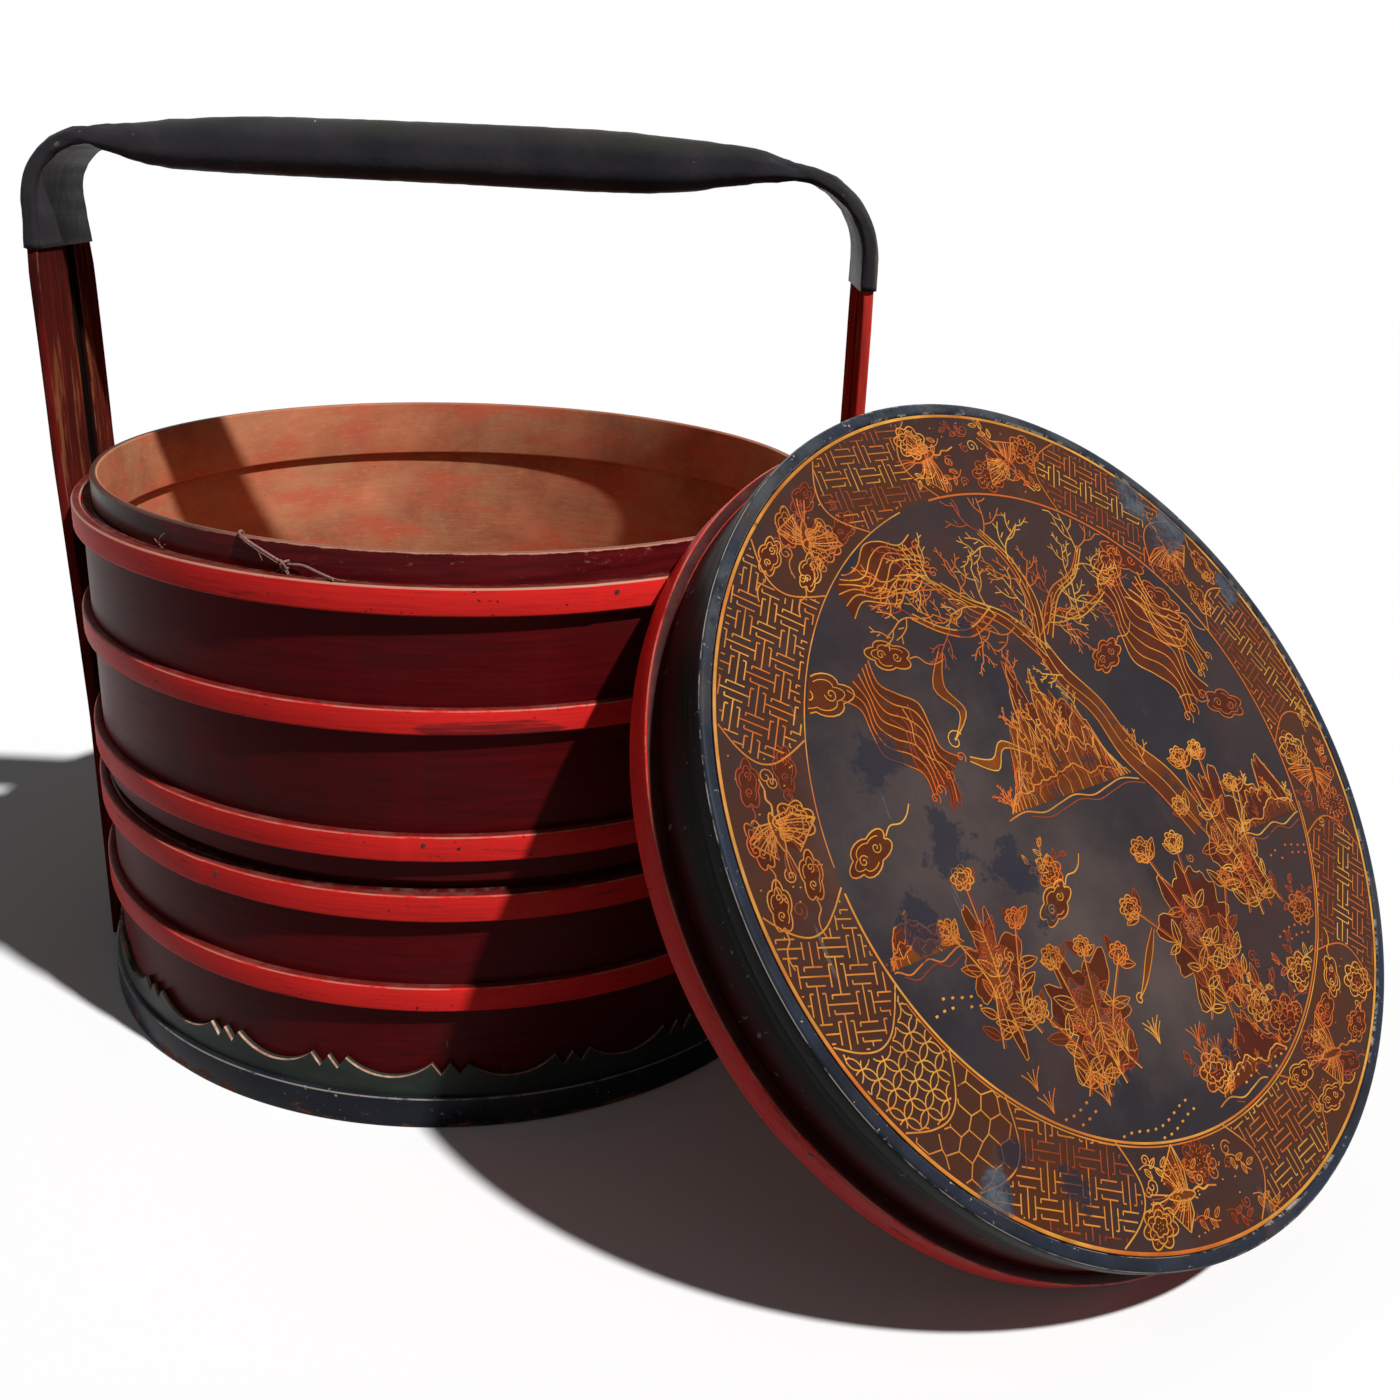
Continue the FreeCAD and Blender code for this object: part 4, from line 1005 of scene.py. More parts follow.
class Painting:
    """Collects brush strokes and washes before they are made into meshes."""

    def __init__(self, seed):
        self.chance = random.Random(seed)
        self.strokes = {paint: [] for paint in LINES}
        self.washes = {paint: [] for paint in FILM_LEVELS}

    def line(self, points, width=1.0, paint="gold"):
        if len(points) > 1:
            self.strokes[paint].append((points, width))

    def curve(self, points, width=1.0, paint="gold", closed=False, steps=5):
        """A smooth stroke through a few points."""
        if closed:
            points = [points[-1], *points, points[0], points[1]]
        else:
            points = [points[0], *points, points[-1]]
        run = []
        for a, b, c, d in zip(points, points[1:], points[2:], points[3:]):
            for step in range(steps):
                t = step / steps
                run.append(tuple(0.5 * (2 * q + (r - p) * t + (2 * p - 5 * q + 4 * r - s) * t * t
                                        + (3 * q - p - 3 * r + s) * t ** 3) for p, q, r, s in zip(a, b, c, d)))
        run.append(points[-2])
        self.line(run, width, paint)
        return run

    def arc(self, centre, radius, start, end, width=1.0, paint="gold", inside=None):
        count = max(int(abs(end - start) * radius / 57.3 / 2.0), 5)
        turns = [radians(start + (end - start) * k / count) for k in range(count + 1)]
        points = [(centre[0] + radius * cos(t), centre[1] + radius * sin(t)) for t in turns]
        self.clipped(points, inside, width, paint)

    def clipped(self, points, inside, width, paint):
        run = []
        for point in points:
            if inside is None or inside(point):
                run.append(point)
            else:
                self.line(run, width, paint)
                run = []
        self.line(run, width, paint)

    def bar(self, a, b, inside, width, paint):
        """A straight stroke from a to b, as far as it lies inside."""
        count = max(int(hypot(b[0] - a[0], b[1] - a[1])), 2)
        kept = [k / count for k in range(count + 1)
                if inside((a[0] + (b[0] - a[0]) * k / count, a[1] + (b[1] - a[1]) * k / count))]
        if len(kept) > 1:
            self.line([(a[0] + (b[0] - a[0]) * t, a[1] + (b[1] - a[1]) * t) for t in (kept[0], kept[-1])], width, paint)

    def dot(self, x, y, size, paint="gold"):
        self.line([(x - size / 2, y), (x + size / 2, y)], size, paint)

    def wash(self, points, paint="wash"):
        self.washes[paint].append(points)

    def keep_inside(self, radius):
        """Cuts what has been drawn so far at a circle round the middle."""
        for paint, runs in self.strokes.items():
            self.strokes[paint] = []
            for points, width in runs:
                self.clipped(points, lambda point: hypot(*point) < radius, width, paint)
        for paint, rings in self.washes.items():
            self.washes[paint] = [[(x * min(1.0, radius / hypot(x, y)), y * min(1.0, radius / hypot(x, y)))
                                   for x, y in ring] for ring in rings if min(hypot(*spot) for spot in ring) < radius]

    def spiral(self, x, y, radius, turn, turns=1.4, flip=1, paint="gold", width=0.9):
        count = int(turns * 12)
        self.line([(x + radius * (1 - k / count * 0.85) * cos(turn + flip * 2 * pi * turns * k / count),
                    y + radius * (1 - k / count * 0.85) * sin(turn + flip * 2 * pi * turns * k / count))
                   for k in range(count + 1)], width, paint)

    def cloud(self, x, y, size, turn, paint="gold"):
        """A scalloped cloud head with scrolls inside and a drawn-out tail."""
        lobes = self.chance.choice((5, 6, 7))
        count = lobes * 7

        def outline(share):
            ring = []
            for k in range(count):
                t = 2 * pi * k / count
                reach = size * share * (0.78 + 0.26 * abs(sin(lobes * t / 2)))
                ring.append(turned(x, y, reach * 1.35 * cos(t), reach * 0.72 * sin(t), turn))
            return ring

        self.wash(outline(0.98))
        ring = outline(1.0)
        self.line(ring + ring[:1], 1.0, paint)
        self.line(outline(0.72)[3:int(count * 0.8)], 0.7, paint)
        for k in range(2):
            spot = turned(x, y, (k - 0.5) * size * 0.9, 0.0, turn)
            self.spiral(*spot, size * 0.26, turn, 1.3, 1 - 2 * k, paint, 0.8)
        tail = [turned(x, y, size * (1.2 + 0.5 * k), size * 0.16 * sin(k * 1.9), turn) for k in range(5)]
        self.curve(tail, paint=paint)

    def bloom(self, x, y, size, paint):
        """A full flower of ruffled petals round a seeded middle."""
        def at(reach, t):
            return (x + reach * cos(t), y + reach * 0.86 * sin(t))

        for layer, (share, petals) in enumerate(((1.0, 7), (0.72, 6), (0.45, 5))):
            count = petals * 8
            turn = self.chance.uniform(0, 1)
            ring = []
            for k in range(count + 1):
                t = 2 * pi * k / count
                ruffle = 0.74 + 0.26 * abs(sin(petals * t / 2 + turn)) + 0.04 * sin(petals * 4 * t)
                ring.append(at(size * share * ruffle, t))
            if layer == 0:
                self.wash(ring[:-1])
            self.line(ring, 0.9 if layer else 1.1, paint)
            if layer < 2:
                for k in range(petals * 2):
                    t = 2 * pi * k / petals / 2 + turn
                    self.line([at(size * share * 0.60, t), at(size * share * 0.80, t)], 0.6, "orange")
        for k in range(6):
            t = 2 * pi * k / 6
            self.dot(x + size * 0.16 * cos(t), y + size * 0.14 * sin(t), size * 0.06)

    def leaf(self, x, y, length, turn, paint, film):
        half = length * 0.20
        edge = ((0, 0), (length * 0.3, half), (length * 0.7, half * 0.8), (length, 0))
        up, down = [self.curve([turned(x, y, a, side * b, turn) for a, b in edge], 0.8, paint, steps=3)
                    for side in (1, -1)]
        self.line([(x, y), turned(x, y, length * 0.85, 0, turn)], 0.6, paint)
        if film:
            self.wash(up + down[-2:0:-1], film)

    def spray(self, x, y, turn, leaves, length, paint):
        """A stalk with leaves to both sides, every other one filled."""
        self.curve([turned(x, y, length * k / 4, length * 0.10 * sin(k * 1.3), turn) for k in range(5)], 0.8, paint)
        for k in range(leaves):
            side, film = (0.8, None) if k % 2 else (-0.8, "wash")
            foot = turned(x, y, length * ((k + 1) / (leaves + 1)), 0, turn)
            self.leaf(*foot, length * 0.34, turn + side, paint, film)

    def antler(self, x, y, turn, size):
        """A twig that forks like coral."""
        chance = self.chance
        paint = chance.choice(MIXED)
        bend = chance.uniform(-0.5, 0.5)
        self.curve([turned(x, y, size * k / 4, size * bend * 0.25 * sin(k * 1.1), turn) for k in range(5)], 1.1, paint,
                   steps=3)
        side = chance.choice((-1, 1))
        for share in (0.28, 0.52, 0.76, 1.0):
            side = -side
            fork = turned(x, y, size * share, size * bend * 0.25 * sin(share * 4.4), turn)
            heading = turn + side * chance.uniform(0.5, 0.9)
            reach = size * 0.42 * (1.25 - share * 0.5)
            tip, half = turned(*fork, reach, 0, heading), turned(*fork, reach * 0.55, 0, heading)
            self.curve([fork, turned(*fork, reach * 0.5, side * reach * 0.12, heading), tip], 1.0, paint, steps=3)
            for lean in (-0.5, 0.45):
                self.line([tip, turned(*tip, reach * chance.uniform(0.3, 0.5), 0, heading + lean)], 0.9, paint)
            self.line([half, turned(*half, reach * 0.35, 0, heading - side * 0.8)], 0.9, paint)

    def bough(self, spots, thick, thin, twigs, size):
        """A crooked limb with bark lines, and twigs to both sides."""
        count = len(spots) - 1
        left, right, core = [], [], []
        for k, (x, y) in enumerate(spots):
            heading = way_at(spots, k)
            half = (thick + (thin - thick) * k / count) / 2 * self.chance.uniform(0.85, 1.15)
            left.append(turned(x, y, 0, half, heading))
            right.append(turned(x, y, 0, -half, heading))
            core.append(turned(x, y, 0, self.chance.uniform(-0.3, 0.3) * half, heading))
        up, down = self.curve(left, 1.2), self.curve(right, 1.2, "orange")
        self.wash(up + down[::-1], "amber")
        if thick > 5:
            self.curve(core, 0.8, "orange")
        for k in range(twigs):
            share = (k + 0.6) / twigs * count
            index = min(int(share), count - 1)
            (x0, y0), (x1, y1) = spots[index], spots[index + 1]
            side = 1 if k % 2 else -1
            self.antler(x0 + (x1 - x0) * (share - index), y0 + (y1 - y0) * (share - index),
                        way(spots[index], spots[index + 1]) + side * self.chance.uniform(0.5, 1.1),
                        size * self.chance.uniform(0.75, 1.15))
        self.antler(*spots[-1], way(*spots[-2:]), size)

    def crags(self, x, y, width, height, rows):
        """Ragged ridges one behind the other, hatched down their slopes, on a wavy bank."""
        chance = self.chance
        for row in range(rows + 2, 0, -1):
            share, seed = row / (rows + 2), chance.uniform(0, 50)
            steps = max(int(width / 2.0), 12)
            ridge = []
            for k in range(steps + 1):
                t = k / steps
                rough = 0.60 * noise.noise(Vector((t * width * 0.075, seed, 0.0)))
                rough += 0.26 * noise.noise(Vector((t * width * 0.27, seed, 3.0)))
                ridge.append((x + width * (t - 0.5) * (1.12 - 0.3 * share),
                              y + height * sin(pi * t) ** 0.55 * share * (0.76 + rough)))
            self.wash(ridge, "amber" if row % 3 == 1 else "wash")
            self.line(ridge, 1.1, chance.choice(WARM))
            self.line([(px, py - 2.2) for px, py in ridge[2:-2] if py - 2.2 > y], 0.7, "rust")
            for px, py in ridge[2:-2:2]:
                drop = min(chance.uniform(0.10, 0.26) * height, py - y)
                lean = chance.uniform(-3.5, 3.5)
                if drop > 3:
                    self.curve([(px, py - 1), (px + lean, py - drop * 0.5), (px + lean * 0.6, py - drop)], 0.7,
                               chance.choice(("orange", "rust", "rust", "gold")), steps=3)
            for k in range(0, steps, 9):
                if chance.random() < 0.5:
                    self.antler(*ridge[k], radians(chance.uniform(60, 120)), height * 0.16)
        bank = [(x + width * (k / 8 - 0.5) * 1.15, y - 2.5 + 1.8 * sin(k * 2.1)) for k in range(9)]
        self.curve(bank, 1.1, "orange")
        self.curve([(px + 3, py - 3) for px, py in bank[1:]], 0.8, "rust")

    def shrub(self, x, y, wide, tall, lean):
        """A flowering bush: arched stems with leaves to both sides and full blooms."""
        chance = self.chance
        stems = 4 if wide > 44 else 3
        for kind, share in (("wash", 1.0), ("amber", 0.6)):
            ring = []
            for k in range(84):
                t = 2 * pi * k / 84
                rough = 0.6 * noise.noise(Vector((cos(t) * 2.2, sin(t) * 2.2, x + share)))
                reach = share * (0.66 + rough + 0.12 * abs(sin(t * 10)))
                ring.append((x + lean * 0.5 + wide * 0.46 * reach * cos(t), y + tall * (0.42 + 0.46 * reach * sin(t))))
            self.wash(ring, kind)
            self.line(ring + ring[:1], 0.8, "orange" if kind == "wash" else "rust")
        for b in range(stems):
            side = b / (stems - 1) * 2 - 1
            reach = tall * (1.0 - 0.30 * abs(side)) * chance.uniform(0.86, 1.0)
            tip = (x + lean + side * wide * 0.5, y + reach)
            middle = (x + lean * 0.4 + side * wide * 0.22 + chance.uniform(-3, 3), y + reach * 0.52)
            spots = [(x + side * wide * 0.3, y + chance.uniform(-3, 3)), (x + side * wide * 0.2, y + reach * 0.25),
                     middle, tip]
            stem = self.curve(spots, 1.2, chance.choice(("gold", "orange")))
            self.curve([(px + 1.3, py) for px, py in spots], 0.7, "rust")
            for k in range(2, len(stem) - 1, 3):
                heading = way(stem[k - 1], stem[k])
                for turn in (-0.9, 0.9):
                    self.leaf(*stem[k], chance.uniform(9, 14), heading + turn + chance.uniform(-0.3, 0.3),
                              chance.choice(MIXED), chance.choice(("amber", "wash", "wash")))
            self.bloom(*tip, chance.uniform(5, 8), chance.choice(WARM))
            if b % 2:
                self.bloom(*middle, chance.uniform(5, 8), "rust")
        for _ in range(5):
            self.spiral(x + chance.uniform(-0.4, 0.4) * wide, y + chance.uniform(0.1, 0.8) * tall,
                        chance.uniform(2, 3.6), chance.uniform(0, 6.3), paint=chance.choice(("gold", "rust")))

    def dots(self, x, y, width, paint):
        """Rows of ground dots."""
        for row in range(2):
            for k in range(int(width / 5)):
                if self.chance.random() < 0.85:
                    self.dot(x + width * (k * 5 / width - 0.5) + row * 3, y - row * 5 + 2.2 * sin(k * 0.7), 1.6, paint)

    def ribbon(self, spots, width):
        """A streamer: two lines that run together, with a curl at the end."""
        count = len(spots) - 1
        edges = [self.curve([turned(*spot, 0, side * width / 2 * sin(pi * min(k / count + 0.12, 1.0)), way_at(spots, k))
                             for k, spot in enumerate(spots)], 0.9) for side in (-1, 1)]
        self.wash(edges[0] + edges[1][::-1], "amber")
        self.spiral(*spots[-1], width * 0.8, 0.4, 1.2)

    def streamers(self, x, y, turn, length, count, paint="gold"):
        """Curling streams side by side, as behind a cloud."""
        for k in range(count):
            off = (k - count / 2) * length * 0.075
            spots = [turned(x, y, length * s / 6, off + length * 0.075 * sin(s * 1.6 + k * 0.5), turn)
                     for s in range(7)]
            self.curve(spots, 1.0, "orange" if k % 3 == 2 else paint)
            if k % 2 == 0:
                self.spiral(*spots[-1], length * 0.05, turn, 1.2, 1, paint)
            if k:
                self.wash(spots + last[::-1], "wash")
            last = spots

    def feathers(self, x, y, wide, tall, turn, rows):
        """Rows of small scallops in an oval."""
        for row in range(rows):
            level = (row + 0.5) / rows * 2 - 1
            span = sqrt(1 - level * level)
            count = max(int(wide * span / 3.4), 2)
            for k in range(count):
                px, py = turned(x, y, wide * span * ((k + 0.5) / count * 2 - 1), tall * level, turn)
                self.line([(px + 2.1 * cos(turn + t * pi / 4), py + 1.7 * sin(turn + t * pi / 4))
                           for t in range(-4, 1)], 0.7)

    def flier(self, x, y, size, flip, turn):
        """A water bird on the wing."""
        def at(points):
            return [turned(x, y, flip * size * a, size * b, turn) for a, b in points]

        for wing, lift in ((1, 1.0), (-1, 0.72)):
            tips = []
            for k in range(9):
                share = k / 8
                root = (0.15 - 0.24 * share, 0.06 * wing)
                middle = (0.12 - 0.36 * share, wing * lift * (0.38 - 0.16 * share))
                tip = (0.02 - 0.42 * share, wing * lift * (0.82 - 0.56 * share))
                self.curve(at((root, middle, tip)), 0.9, LINES[k % 3])
                tips.append(tip)
            outline = at([(0.18, 0.05 * wing), (0.20, 0.42 * wing * lift), *tips, (-0.20, 0.05 * wing)])
            self.wash(outline)
            self.line(outline[:3], 1.2)
            self.curve(outline[2:-1], steps=3)
            self.feathers(*at(((-0.02, 0.17 * wing * lift),))[0], size * 0.13, size * 0.08, turn, 3)
        body = at(((-0.32, 0.0), (-0.02, 0.09), (0.24, 0.06), (0.34, 0.0), (0.2, -0.08), (-0.1, -0.08)))
        self.wash(self.curve(body, 1.1, closed=True), "amber")
        neck = at(((0.28, 0.04), (0.44, 0.10), (0.56, 0.05), (0.70, 0.10)))
        self.curve(neck, 1.5)
        self.line([neck[-1], at(((0.90, 0.08),))[0]], 1.2, "orange")
        for k in range(4):
            self.curve(at(((-0.26, 0.02), (-0.46, 0.05 - 0.05 * k), (-0.74, 0.08 - 0.08 * k))), 0.9,
                       ("gold", "rust")[k % 2])


def in_sector(start, end, inset=1.2):
    """A test for points of the border between two azimuths, whose ends slant."""
    def inside(point):
        reach = hypot(*point)
        if not BORDER_IN + inset < reach < BORDER_OUT - inset:
            return False
        slant = SLANT * sin((reach - BORDER_IN) / (BORDER_OUT - BORDER_IN) * pi)
        spread = degrees(inset / reach)
        turn = (degrees(atan2(point[1], point[0])) - start + spread) % 360
        return slant + 2 * spread < turn < (end - start) + slant - spread * 0.5
    return inside


def slanted_edge(art, turn, width):
    art.curve([polar(BORDER_IN + 43 * k / 5, turn + SLANT * sin(pi * k / 5)) for k in range(6)], width)


def fret(art, start, end, tilt):
    """Key lattice: blocks of three bars, laid crosswise, whose middle bars meet the next block."""
    inside = in_sector(start, end)
    centre = polar((BORDER_IN + BORDER_OUT) / 2, (start + end) / 2 + 2)
    turn = radians((start + end) / 2 - 90 + tilt)
    paints = ("gold", "gold", "orange") if start in GOLDEN_FRETS else ("orange", "rust", "gold")
    for i in range(-10, 11):
        for j in range(-8, 9):
            for bar in KEY_BARS:
                spots = [spot[::-1] for spot in bar] if (i + j) % 2 else bar
                ends = [turned(*centre, (3 * i + p - 1.5) * KEY_STEP, (3 * j + q - 1.5) * KEY_STEP, turn)
                        for p, q in spots]
                art.bar(*ends, inside, 1.0, paints[(i * 3 + j * 5) % 3])


def circle_net(art, start, end):
    inside = in_sector(start, end)
    middle = polar(BORDER_MIDDLE, (start + end) / 2)
    for i in range(-4, 5):
        for j in range(-4, 5):
            centre = turned(*middle, i * CIRCLE_STEP, j * CIRCLE_STEP, radians((start + end) / 2 + 20))
            for quarter in range(4):
                art.arc(centre, CIRCLE_STEP * sqrt(0.5) * 1.02, 90 * quarter, 90 * quarter + 90, 0.9, "gold", inside)


def crackle_net(art, start, end):
    inside = in_sector(start, end)
    cx, cy = polar(BORDER_MIDDLE, (start + end) / 2)
    step = CRACKLE_STEP
    for i in range(-6, 7):
        for j in range(-6, 7):
            x, y = cx + i * step * 1.5, cy + j * step * sqrt(3) + (i % 2) * step * sqrt(3) / 2
            corners = []
            for k in range(6):
                px, py = x + step * cos(k * pi / 3), y + step * sin(k * pi / 3)
                shift = noise.noise(Vector((round(px, 1) * 0.31, round(py, 1) * 0.31, 5.0))) * 3.2
                corners.append((px + shift, py - shift))
            for a, b in zip(corners[:3], corners[1:4]):
                art.bar(a, b, inside, 0.9, "gold")


def cartouche(art, start, end, kind):
    """A reserve of the border, crowded with blooms, scrolls and clouds."""
    chance = art.chance
    for edge in (start, end):
        slanted_edge(art, edge, 1.2)
    count = max(int((end - start) / 6.0), 2)
    for k in range(count):
        turn = start + (end - start) * (k + 0.5) / count + 2.2
        paint = LINES[(k + start) % 3]
        heading = radians(turn + 90) + chance.uniform(-0.7, 0.7)
        for share in (-1, 1):
            spot = polar(BORDER_MIDDLE + share * 10.5 + chance.uniform(-2, 2), turn + share * 1.2)
            if (k + share) % 4 == (1 if kind == "bloom" else 0):
                art.bloom(*spot, 11.0, paint)
            elif kind == "bloom":
                art.spray(*spot, heading, 4, 17.0, paint)
            else:
                art.cloud(*spot, 8.0, heading, paint)
        if k % 3 == 1:
            art.flier(*polar(BORDER_MIDDLE, turn), 26.0, chance.choice((-1, 1)), heading)
        for _ in range(3):
            art.spiral(*polar(chance.uniform(168, 199), turn + chance.uniform(-3.0, 3.0)),
                       chance.uniform(2.4, 4.2), chance.uniform(0, 6.3), paint=chance.choice(LINES))
        for _ in range(8):
            art.dot(*polar(chance.uniform(165, 202), turn + chance.uniform(-3.4, 3.4)), 1.0)


def border(art):
    for radius, start, end, width, paint in ((205.9, 0, 360, 2.3, "orange"), (161.0, -178, 96, 1.6, "gold"),
                                             (161.0, 104, 178, 0.9, "orange"), (162.6, 200, 345, 1.0, "orange")):
        art.arc((0, 0), radius, start, end, width, paint)
    for sector in FRETS:
        fret(art, *sector)
    circle_net(art, *CIRCLE_NET)
    crackle_net(art, *CRACKLE_NET)
    for edge in (*CIRCLE_NET, CRACKLE_NET[1]):
        slanted_edge(art, edge, 1.1)
    for sector in CARTOUCHES:
        cartouche(art, *sector)


def garden(art):
    """Leaning tree over crags, with clouds, ribbons and flowering bushes, inside the inner ring."""
    art.bough(((72, -34), (60, -8), (44, 14), (36, 38), (22, 58), (16, 76)), 17, 10, 2, 15)
    art.bough(((18, 70), (0, 92), (-20, 104), (-34, 116)), 9, 4, 6, 24)
    art.bough(((16, 74), (24, 98), (20, 122), (8, 140)), 7, 3, 7, 24)
    art.bough(((24, 80), (42, 100), (62, 108), (76, 122)), 6, 3, 6, 24)
    art.bough(((-6, 98), (-26, 90), (-44, 94), (-60, 104)), 5, 2.5, 6, 21)
    art.bough(((-34, 114), (-46, 122), (-60, 124)), 4, 2, 4, 20)
    art.bough(((34, 92), (50, 86), (66, 90), (80, 96)), 4, 2, 4, 20)
    art.crags(-6, 2, 84, 70, 3)
    art.crags(128, -46, 56, 34, 1)
    art.crags(-132, -42, 44, 24, 1)
    art.crags(34, -152, 62, 26, 0)
    art.streamers(-98, 122, 0.25, 62, 6)
    art.streamers(-108, 82, -1.05, 62, 7, "orange")
    art.streamers(-92, 62, -1.25, 48, 4, "rust")
    art.streamers(84, 104, -1.15, 84, 6)
    art.streamers(104, 96, -1.0, 60, 5, "orange")
    for x, y, size, turn in ((-132, 78, 14, 3.0), (-84, 88, 10, -0.3), (92, 108, 11, 0.5), (120, 84, 12, -0.7)):
        art.cloud(x, y, size, turn)
    art.ribbon(((-52, 84), (-62, 68), (-54, 54), (-66, 42)), 7)
    art.ribbon(((-62, 32), (-48, 26), (-38, 34), (-20, 24)), 6)
    art.ribbon(((104, 84), (112, 64), (124, 58), (132, 66)), 6)
    art.shrub(92, -86, 46, 104, -6)
    art.shrub(40, -122, 74, 98, -6)
    art.shrub(-100, -90, 40, 78, 4)
    art.shrub(-58, -124, 62, 72, 4)
    art.ribbon(((6, -70), (-4, -80), (-14, -90), (-22, -96)), 4)
    for x, y, size, turn in ((60, 62, 10, 0.4), (-140, 6, 11, 0.4), (134, 20, 11, 2.8), (108, 112, 12, -0.6),
                             (-48, -42, 10, 0.5)):
        art.cloud(x, y, size, turn)
    for x, y, size in ((70, -136, 14), (96, -120, 12), (6, -140, 12), (54, -124, 9), (118, -92, 10), (-44, -28, 9)):
        art.bloom(x, y, size, art.chance.choice(("gold", "orange")))
        for k in range(3):
            art.spray(x, y, radians(30 + 60 * k), 3, size * 1.8, art.chance.choice(("gold", "rust", "rust", "orange")))
    for x, y, width in ((-98, -124, 54), (-46, -146, 62), (44, -146, 50), (92, -128, 46), (-130, -62, 36),
                        (132, -62, 36), (112, -100, 40)):
        art.dots(x, y, width, art.chance.choice(("gold", "orange")))
    for _ in range(16):
        x, y = art.chance.uniform(-110, 120), art.chance.uniform(-136, -110)
        for lean in (-0.5, -0.15, 0.2, 0.55):
            art.curve([(x, y), (x + lean * 4, y + 5), (x + lean * 11, y + 9)], 0.8, steps=3)
    art.keep_inside(GARDEN_RADIUS)


def stroke_mesh(strokes, sizes):
    """Edges along the strokes, each point with its half_width."""
    points, edges, widths = [], [], []
    for run, width in strokes:
        first = len(points)
        points += [Vector((x, y, PANEL_TOP + STROKE_RISE)) * MM for x, y in run]
        edges += [(first + k, first + k + 1) for k in range(len(run) - 1)]
        widths += [sizes.line_width * width / 2] * len(run)
    mesh = bpy.data.meshes.new("Strokes")
    mesh.from_pydata(points, edges, [])
    mesh.attributes.new("half_width", "FLOAT", "POINT").data.foreach_set("value", widths)
    return mesh


def wash_piece(name, washes, finish, level):
    """Thin films of paint under the lines."""
    films = bmesh.new()
    for index, ring in enumerate(washes):
        top = (PANEL_TOP + level + FILM_STEP * index) * MM
        rows = [[films.verts.new((x * MM, y * MM, z)) for x, y in ring] for z in (top - FILM_THICK * MM, top)]
        faces = [films.faces.new(rows[1]), films.faces.new(rows[0][::-1])]
        faces += [films.faces.new((rows[0][k - 1], rows[0][k], rows[1][k], rows[1][k - 1])) for k in range(len(ring))]
        turn = sum(ring[k - 1][0] * ring[k][1] - ring[k][0] * ring[k - 1][1] for k in range(len(ring)))
        if turn < 0:
            bmesh.ops.reverse_faces(films, faces=faces)
    mesh = bpy.data.meshes.new(name)
    films.to_mesh(mesh)
    films.free()
    mesh.transform(LID_PLACE)
    mesh.materials.append(finish)
    return added(name, mesh)


def lid_painting_pieces():
    art = Painting(11)
    garden(art)
    border(art)
    tree = stroke_tree()
    sizes = bpy.context.scene.basket_sizes
    pieces = [wash_piece("Paint" + paint.title(), art.washes[paint], finish_of(paint), level)
              for paint, level in FILM_LEVELS.items()]
    for paint, strokes in art.strokes.items():
        values = {"Ridge": STROKE_RIDGE, "Material": finish_of(paint)}
        pieces.append(grown("Paint" + paint.title(), tree, values, stroke_mesh(strokes, sizes), LID_PLACE))
    for piece in pieces:
        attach(piece, "lid")


# Stage

EYE, PITCH, YAW, ROLL = (0.0, -0.841921, 0.478074), 0.362761261, 0.170444032, 0.0527138702
SENSOR, LENS = 36.0, 1435.70895 * 36.0 / 1400.0
FLOOR_HALF = 6.0


def set_camera(context):
    """The camera that the hoops, the rim and the lid in the photograph were fitted with."""
    pitch, yaw, roll = PITCH, YAW, ROLL
    ahead = Vector((sin(yaw) * cos(pitch), cos(yaw) * cos(pitch), -sin(pitch)))
    level = Vector((cos(yaw), -sin(yaw), 0.0))
    above = level.cross(ahead)
    right = cos(roll) * level + sin(roll) * above
    up = -sin(roll) * level + cos(roll) * above
    lens = bpy.data.cameras.new("Camera")
    lens.sensor_width, lens.lens, lens.clip_start = SENSOR, LENS, 0.05
    camera = added("Camera", lens)
    camera.matrix_world = Matrix.Translation(EYE) @ Matrix((right, up, -ahead)).transposed().to_4x4()
    context.scene.camera = camera


def set_world(context, light):
    world = bpy.data.worlds.new("Surroundings")
    context.scene.world = world
    world.use_nodes = True
    made = Nodes(world.node_tree)
    back = made.tree.nodes["Background"]
    back.inputs["Color"].default_value = (1.0, 1.0, 1.0, 1.0)
    made.tree.links.new((made.seen_directly() | light.fill_strength).socket, back.inputs["Strength"])


def set_floor(light):
    mesh = bpy.data.meshes.new("Floor")
    corners = [(x * FLOOR_HALF, y * FLOOR_HALF, 0) for x, y in ((-1, -1), (1, -1), (1, 1), (-1, 1))]
    mesh.from_pydata(corners, [], [(0, 1, 2, 3)])
    floor = added("Floor", mesh)
    paint = Finish("FloorPaint", 0.9, 0.0, 0.0)
    shown = paint.mix(paint.mottle(-2.0, 3.0, 60.0, EVEN, 3), (light.floor_tone,) * 3, (light.floor_tone * 0.996,) * 3)
    paint.done(paint.mix(paint.seen_directly(), (light.floor_bounce,) * 3, shown))
    mesh.materials.append(paint.material)


class BASKET_OT_stage(bpy.types.Operator):
    """Set up the camera, the light, the floor and the white surroundings"""
    bl_idname = "basket.stage"
    bl_label = "Stage"

    def execute(self, context):
        light = context.scene.basket_light
        set_camera(context)
        key = bpy.data.lights.new("Key", "SUN")
        key.energy = light.key_strength
        key.angle = light.key_width
        lamp = added("Key", key)
        rise, turn = light.key_rise, light.key_turn
        towards = Vector((cos(rise) * cos(turn), cos(rise) * sin(turn), sin(rise)))
        lamp.matrix_world = Matrix.Translation(towards * 2) @ towards.to_track_quat("Z", "Y").to_matrix().to_4x4()
        set_world(context, light)
        set_floor(light)
        context.scene.view_settings.view_transform = "Standard"
        return {"FINISHED"}


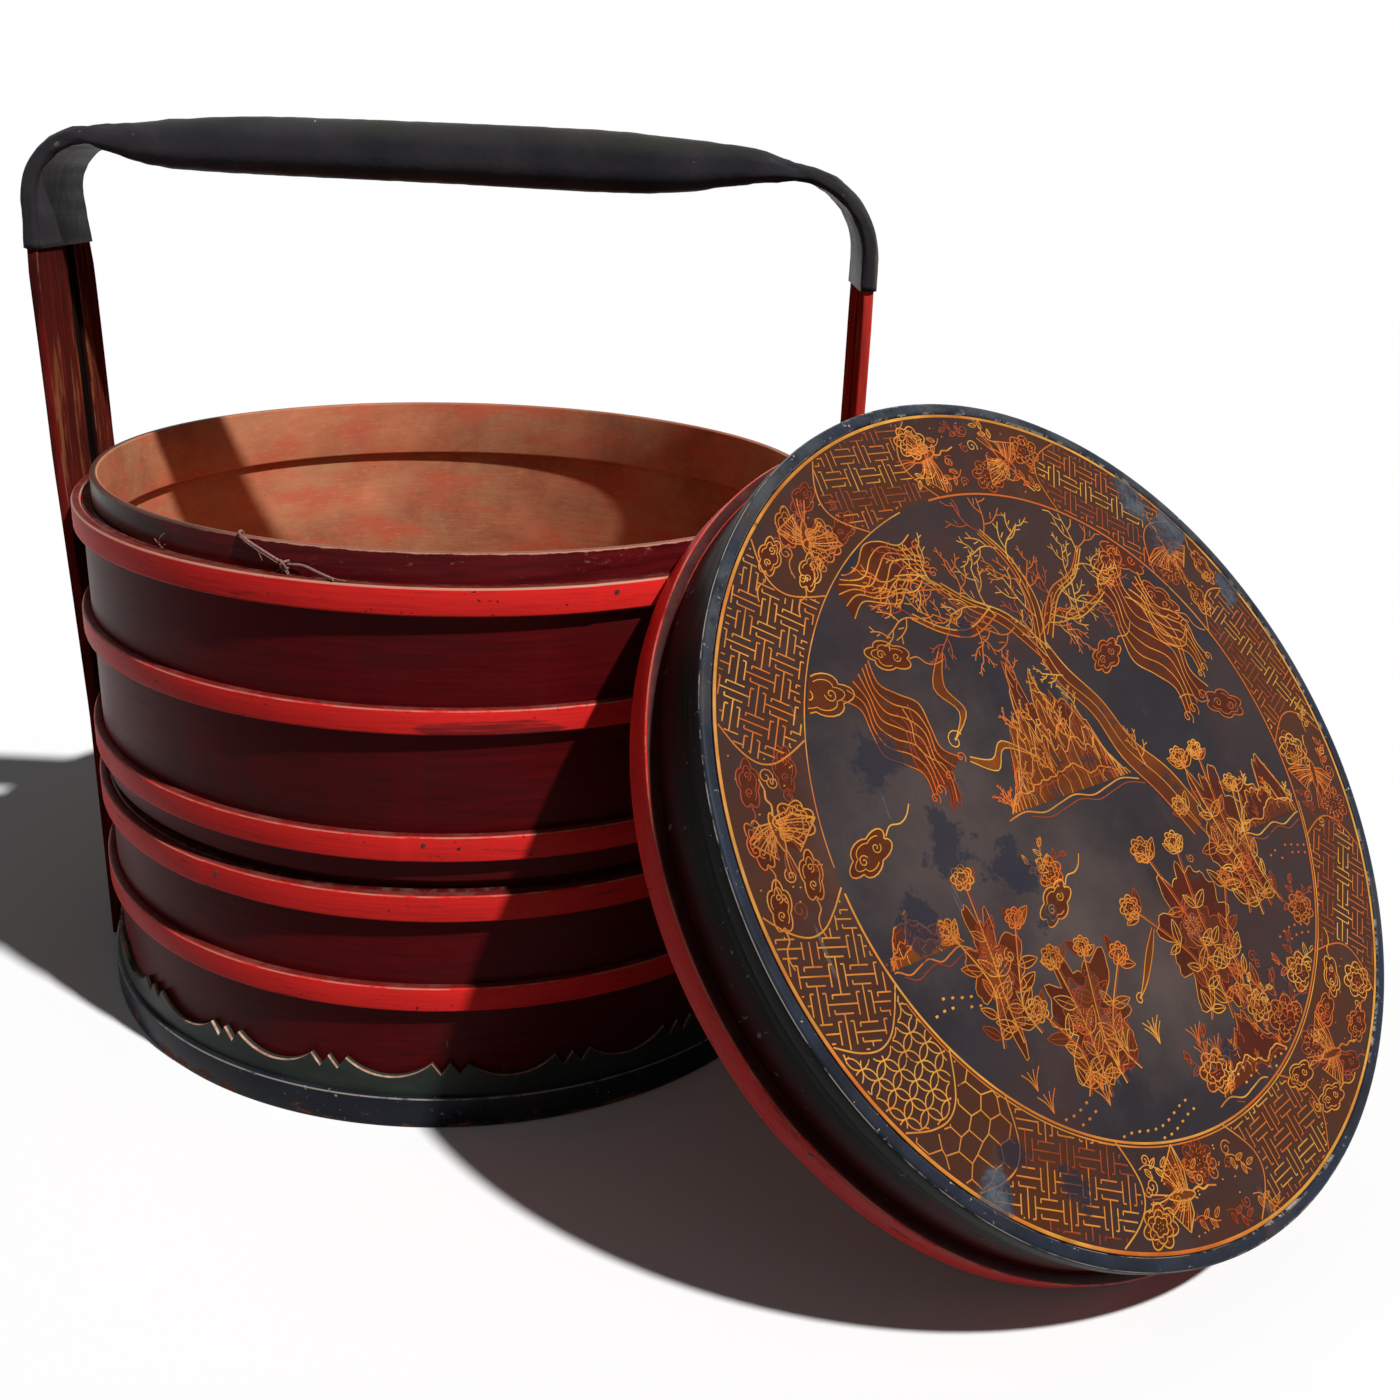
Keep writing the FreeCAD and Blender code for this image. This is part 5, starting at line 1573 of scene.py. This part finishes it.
class BASKET_OT_tie_cord(bpy.types.Operator):
    """Lay the loose tie cord, its knot and its frayed ends over the upper tier's rim"""
    bl_idname = "basket.tie_cord"
    bl_label = "Tie cord"

    def execute(self, context):
        tie_cord()
        return {"FINISHED"}


class BASKET_OT_tiers(bpy.types.Operator):
    """Make the tiers' walls, collars, hoops and foot"""
    bl_idname = "basket.tiers"
    bl_label = "Tiers"

    def execute(self, context):
        make_rings(RINGS)
        return {"FINISHED"}


class BASKET_OT_lid(bpy.types.Operator):
    """Make the lid's wall, hoop, shoulder and bead"""
    bl_idname = "basket.lid"
    bl_label = "Lid"

    def execute(self, context):
        make_rings(LID_RINGS, LID_PLACE)
        return {"FINISHED"}


class BASKET_OT_painting(bpy.types.Operator):
    """Paint the lid's border and garden in gold, orange and red-brown lines"""
    bl_idname = "basket.painting"
    bl_label = "Painting"

    def execute(self, context):
        lid_painting_pieces()
        return {"FINISHED"}


class BASKET_OT_handle(bpy.types.Operator):
    """Make the handle's two strips, its skin and its nails"""
    bl_idname = "basket.handle"
    bl_label = "Handle"

    def execute(self, context):
        handle_strip("handle_strip_front", True)
        handle_strip("handle_strip_rear", False)
        groove_filler("handle_filler_left", -1)
        groove_filler("handle_filler_right", 1)
        grip_core("grip_core_upper", True)
        grip_core("grip_core_lower", False)
        grip_sheath()
        handle_nails()
        return {"FINISHED"}


class BASKET_OT_finishes(bpy.types.Operator):
    """Give each piece that keeps its CAD shape its finish"""
    bl_idname = "basket.finishes"
    bl_label = "Finishes"

    def execute(self, context):
        for node, piece in frame["nodes"].items():
            piece.data.materials.clear()
            piece.data.materials.append(finish_for(node))
        return {"FINISHED"}


STEPS = (BASKET_OT_stage, BASKET_OT_tie_cord, BASKET_OT_tiers, BASKET_OT_lid, BASKET_OT_painting, BASKET_OT_handle,
         BASKET_OT_finishes)
GROUPS = {"basket_colours": BasketColours, "basket_sizes": BasketSizes, "basket_light": BasketLight}


class BASKET_PT_panel(bpy.types.Panel):
    """The basket's sizes and colours, and the steps that make it"""
    bl_idname = "BASKET_PT_panel"
    bl_label = "Lidded basket"
    bl_space_type = "VIEW_3D"
    bl_region_type = "UI"
    bl_category = "Basket"

    def draw(self, context):
        for name, kind in GROUPS.items():
            for key in kind.__annotations__:
                self.layout.prop(getattr(context.scene, name), key)
        for step in STEPS:
            self.layout.operator(step.bl_idname)


def register():
    for kind in (*GROUPS.values(), *STEPS, BASKET_PT_panel):
        bpy.utils.register_class(kind)
    for name, kind in GROUPS.items():
        setattr(bpy.types.Scene, name, bpy.props.PointerProperty(type=kind))


def unregister():
    for name in GROUPS:
        delattr(bpy.types.Scene, name)
    for kind in (BASKET_PT_panel, *reversed(STEPS), *reversed(GROUPS.values())):
        bpy.utils.unregister_class(kind)


def main():
    register()
    for step in STEPS:
        group, name = step.bl_idname.split(".")
        getattr(getattr(bpy.ops, group), name)()
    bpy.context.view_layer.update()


if __name__ == "__main__":
    main()
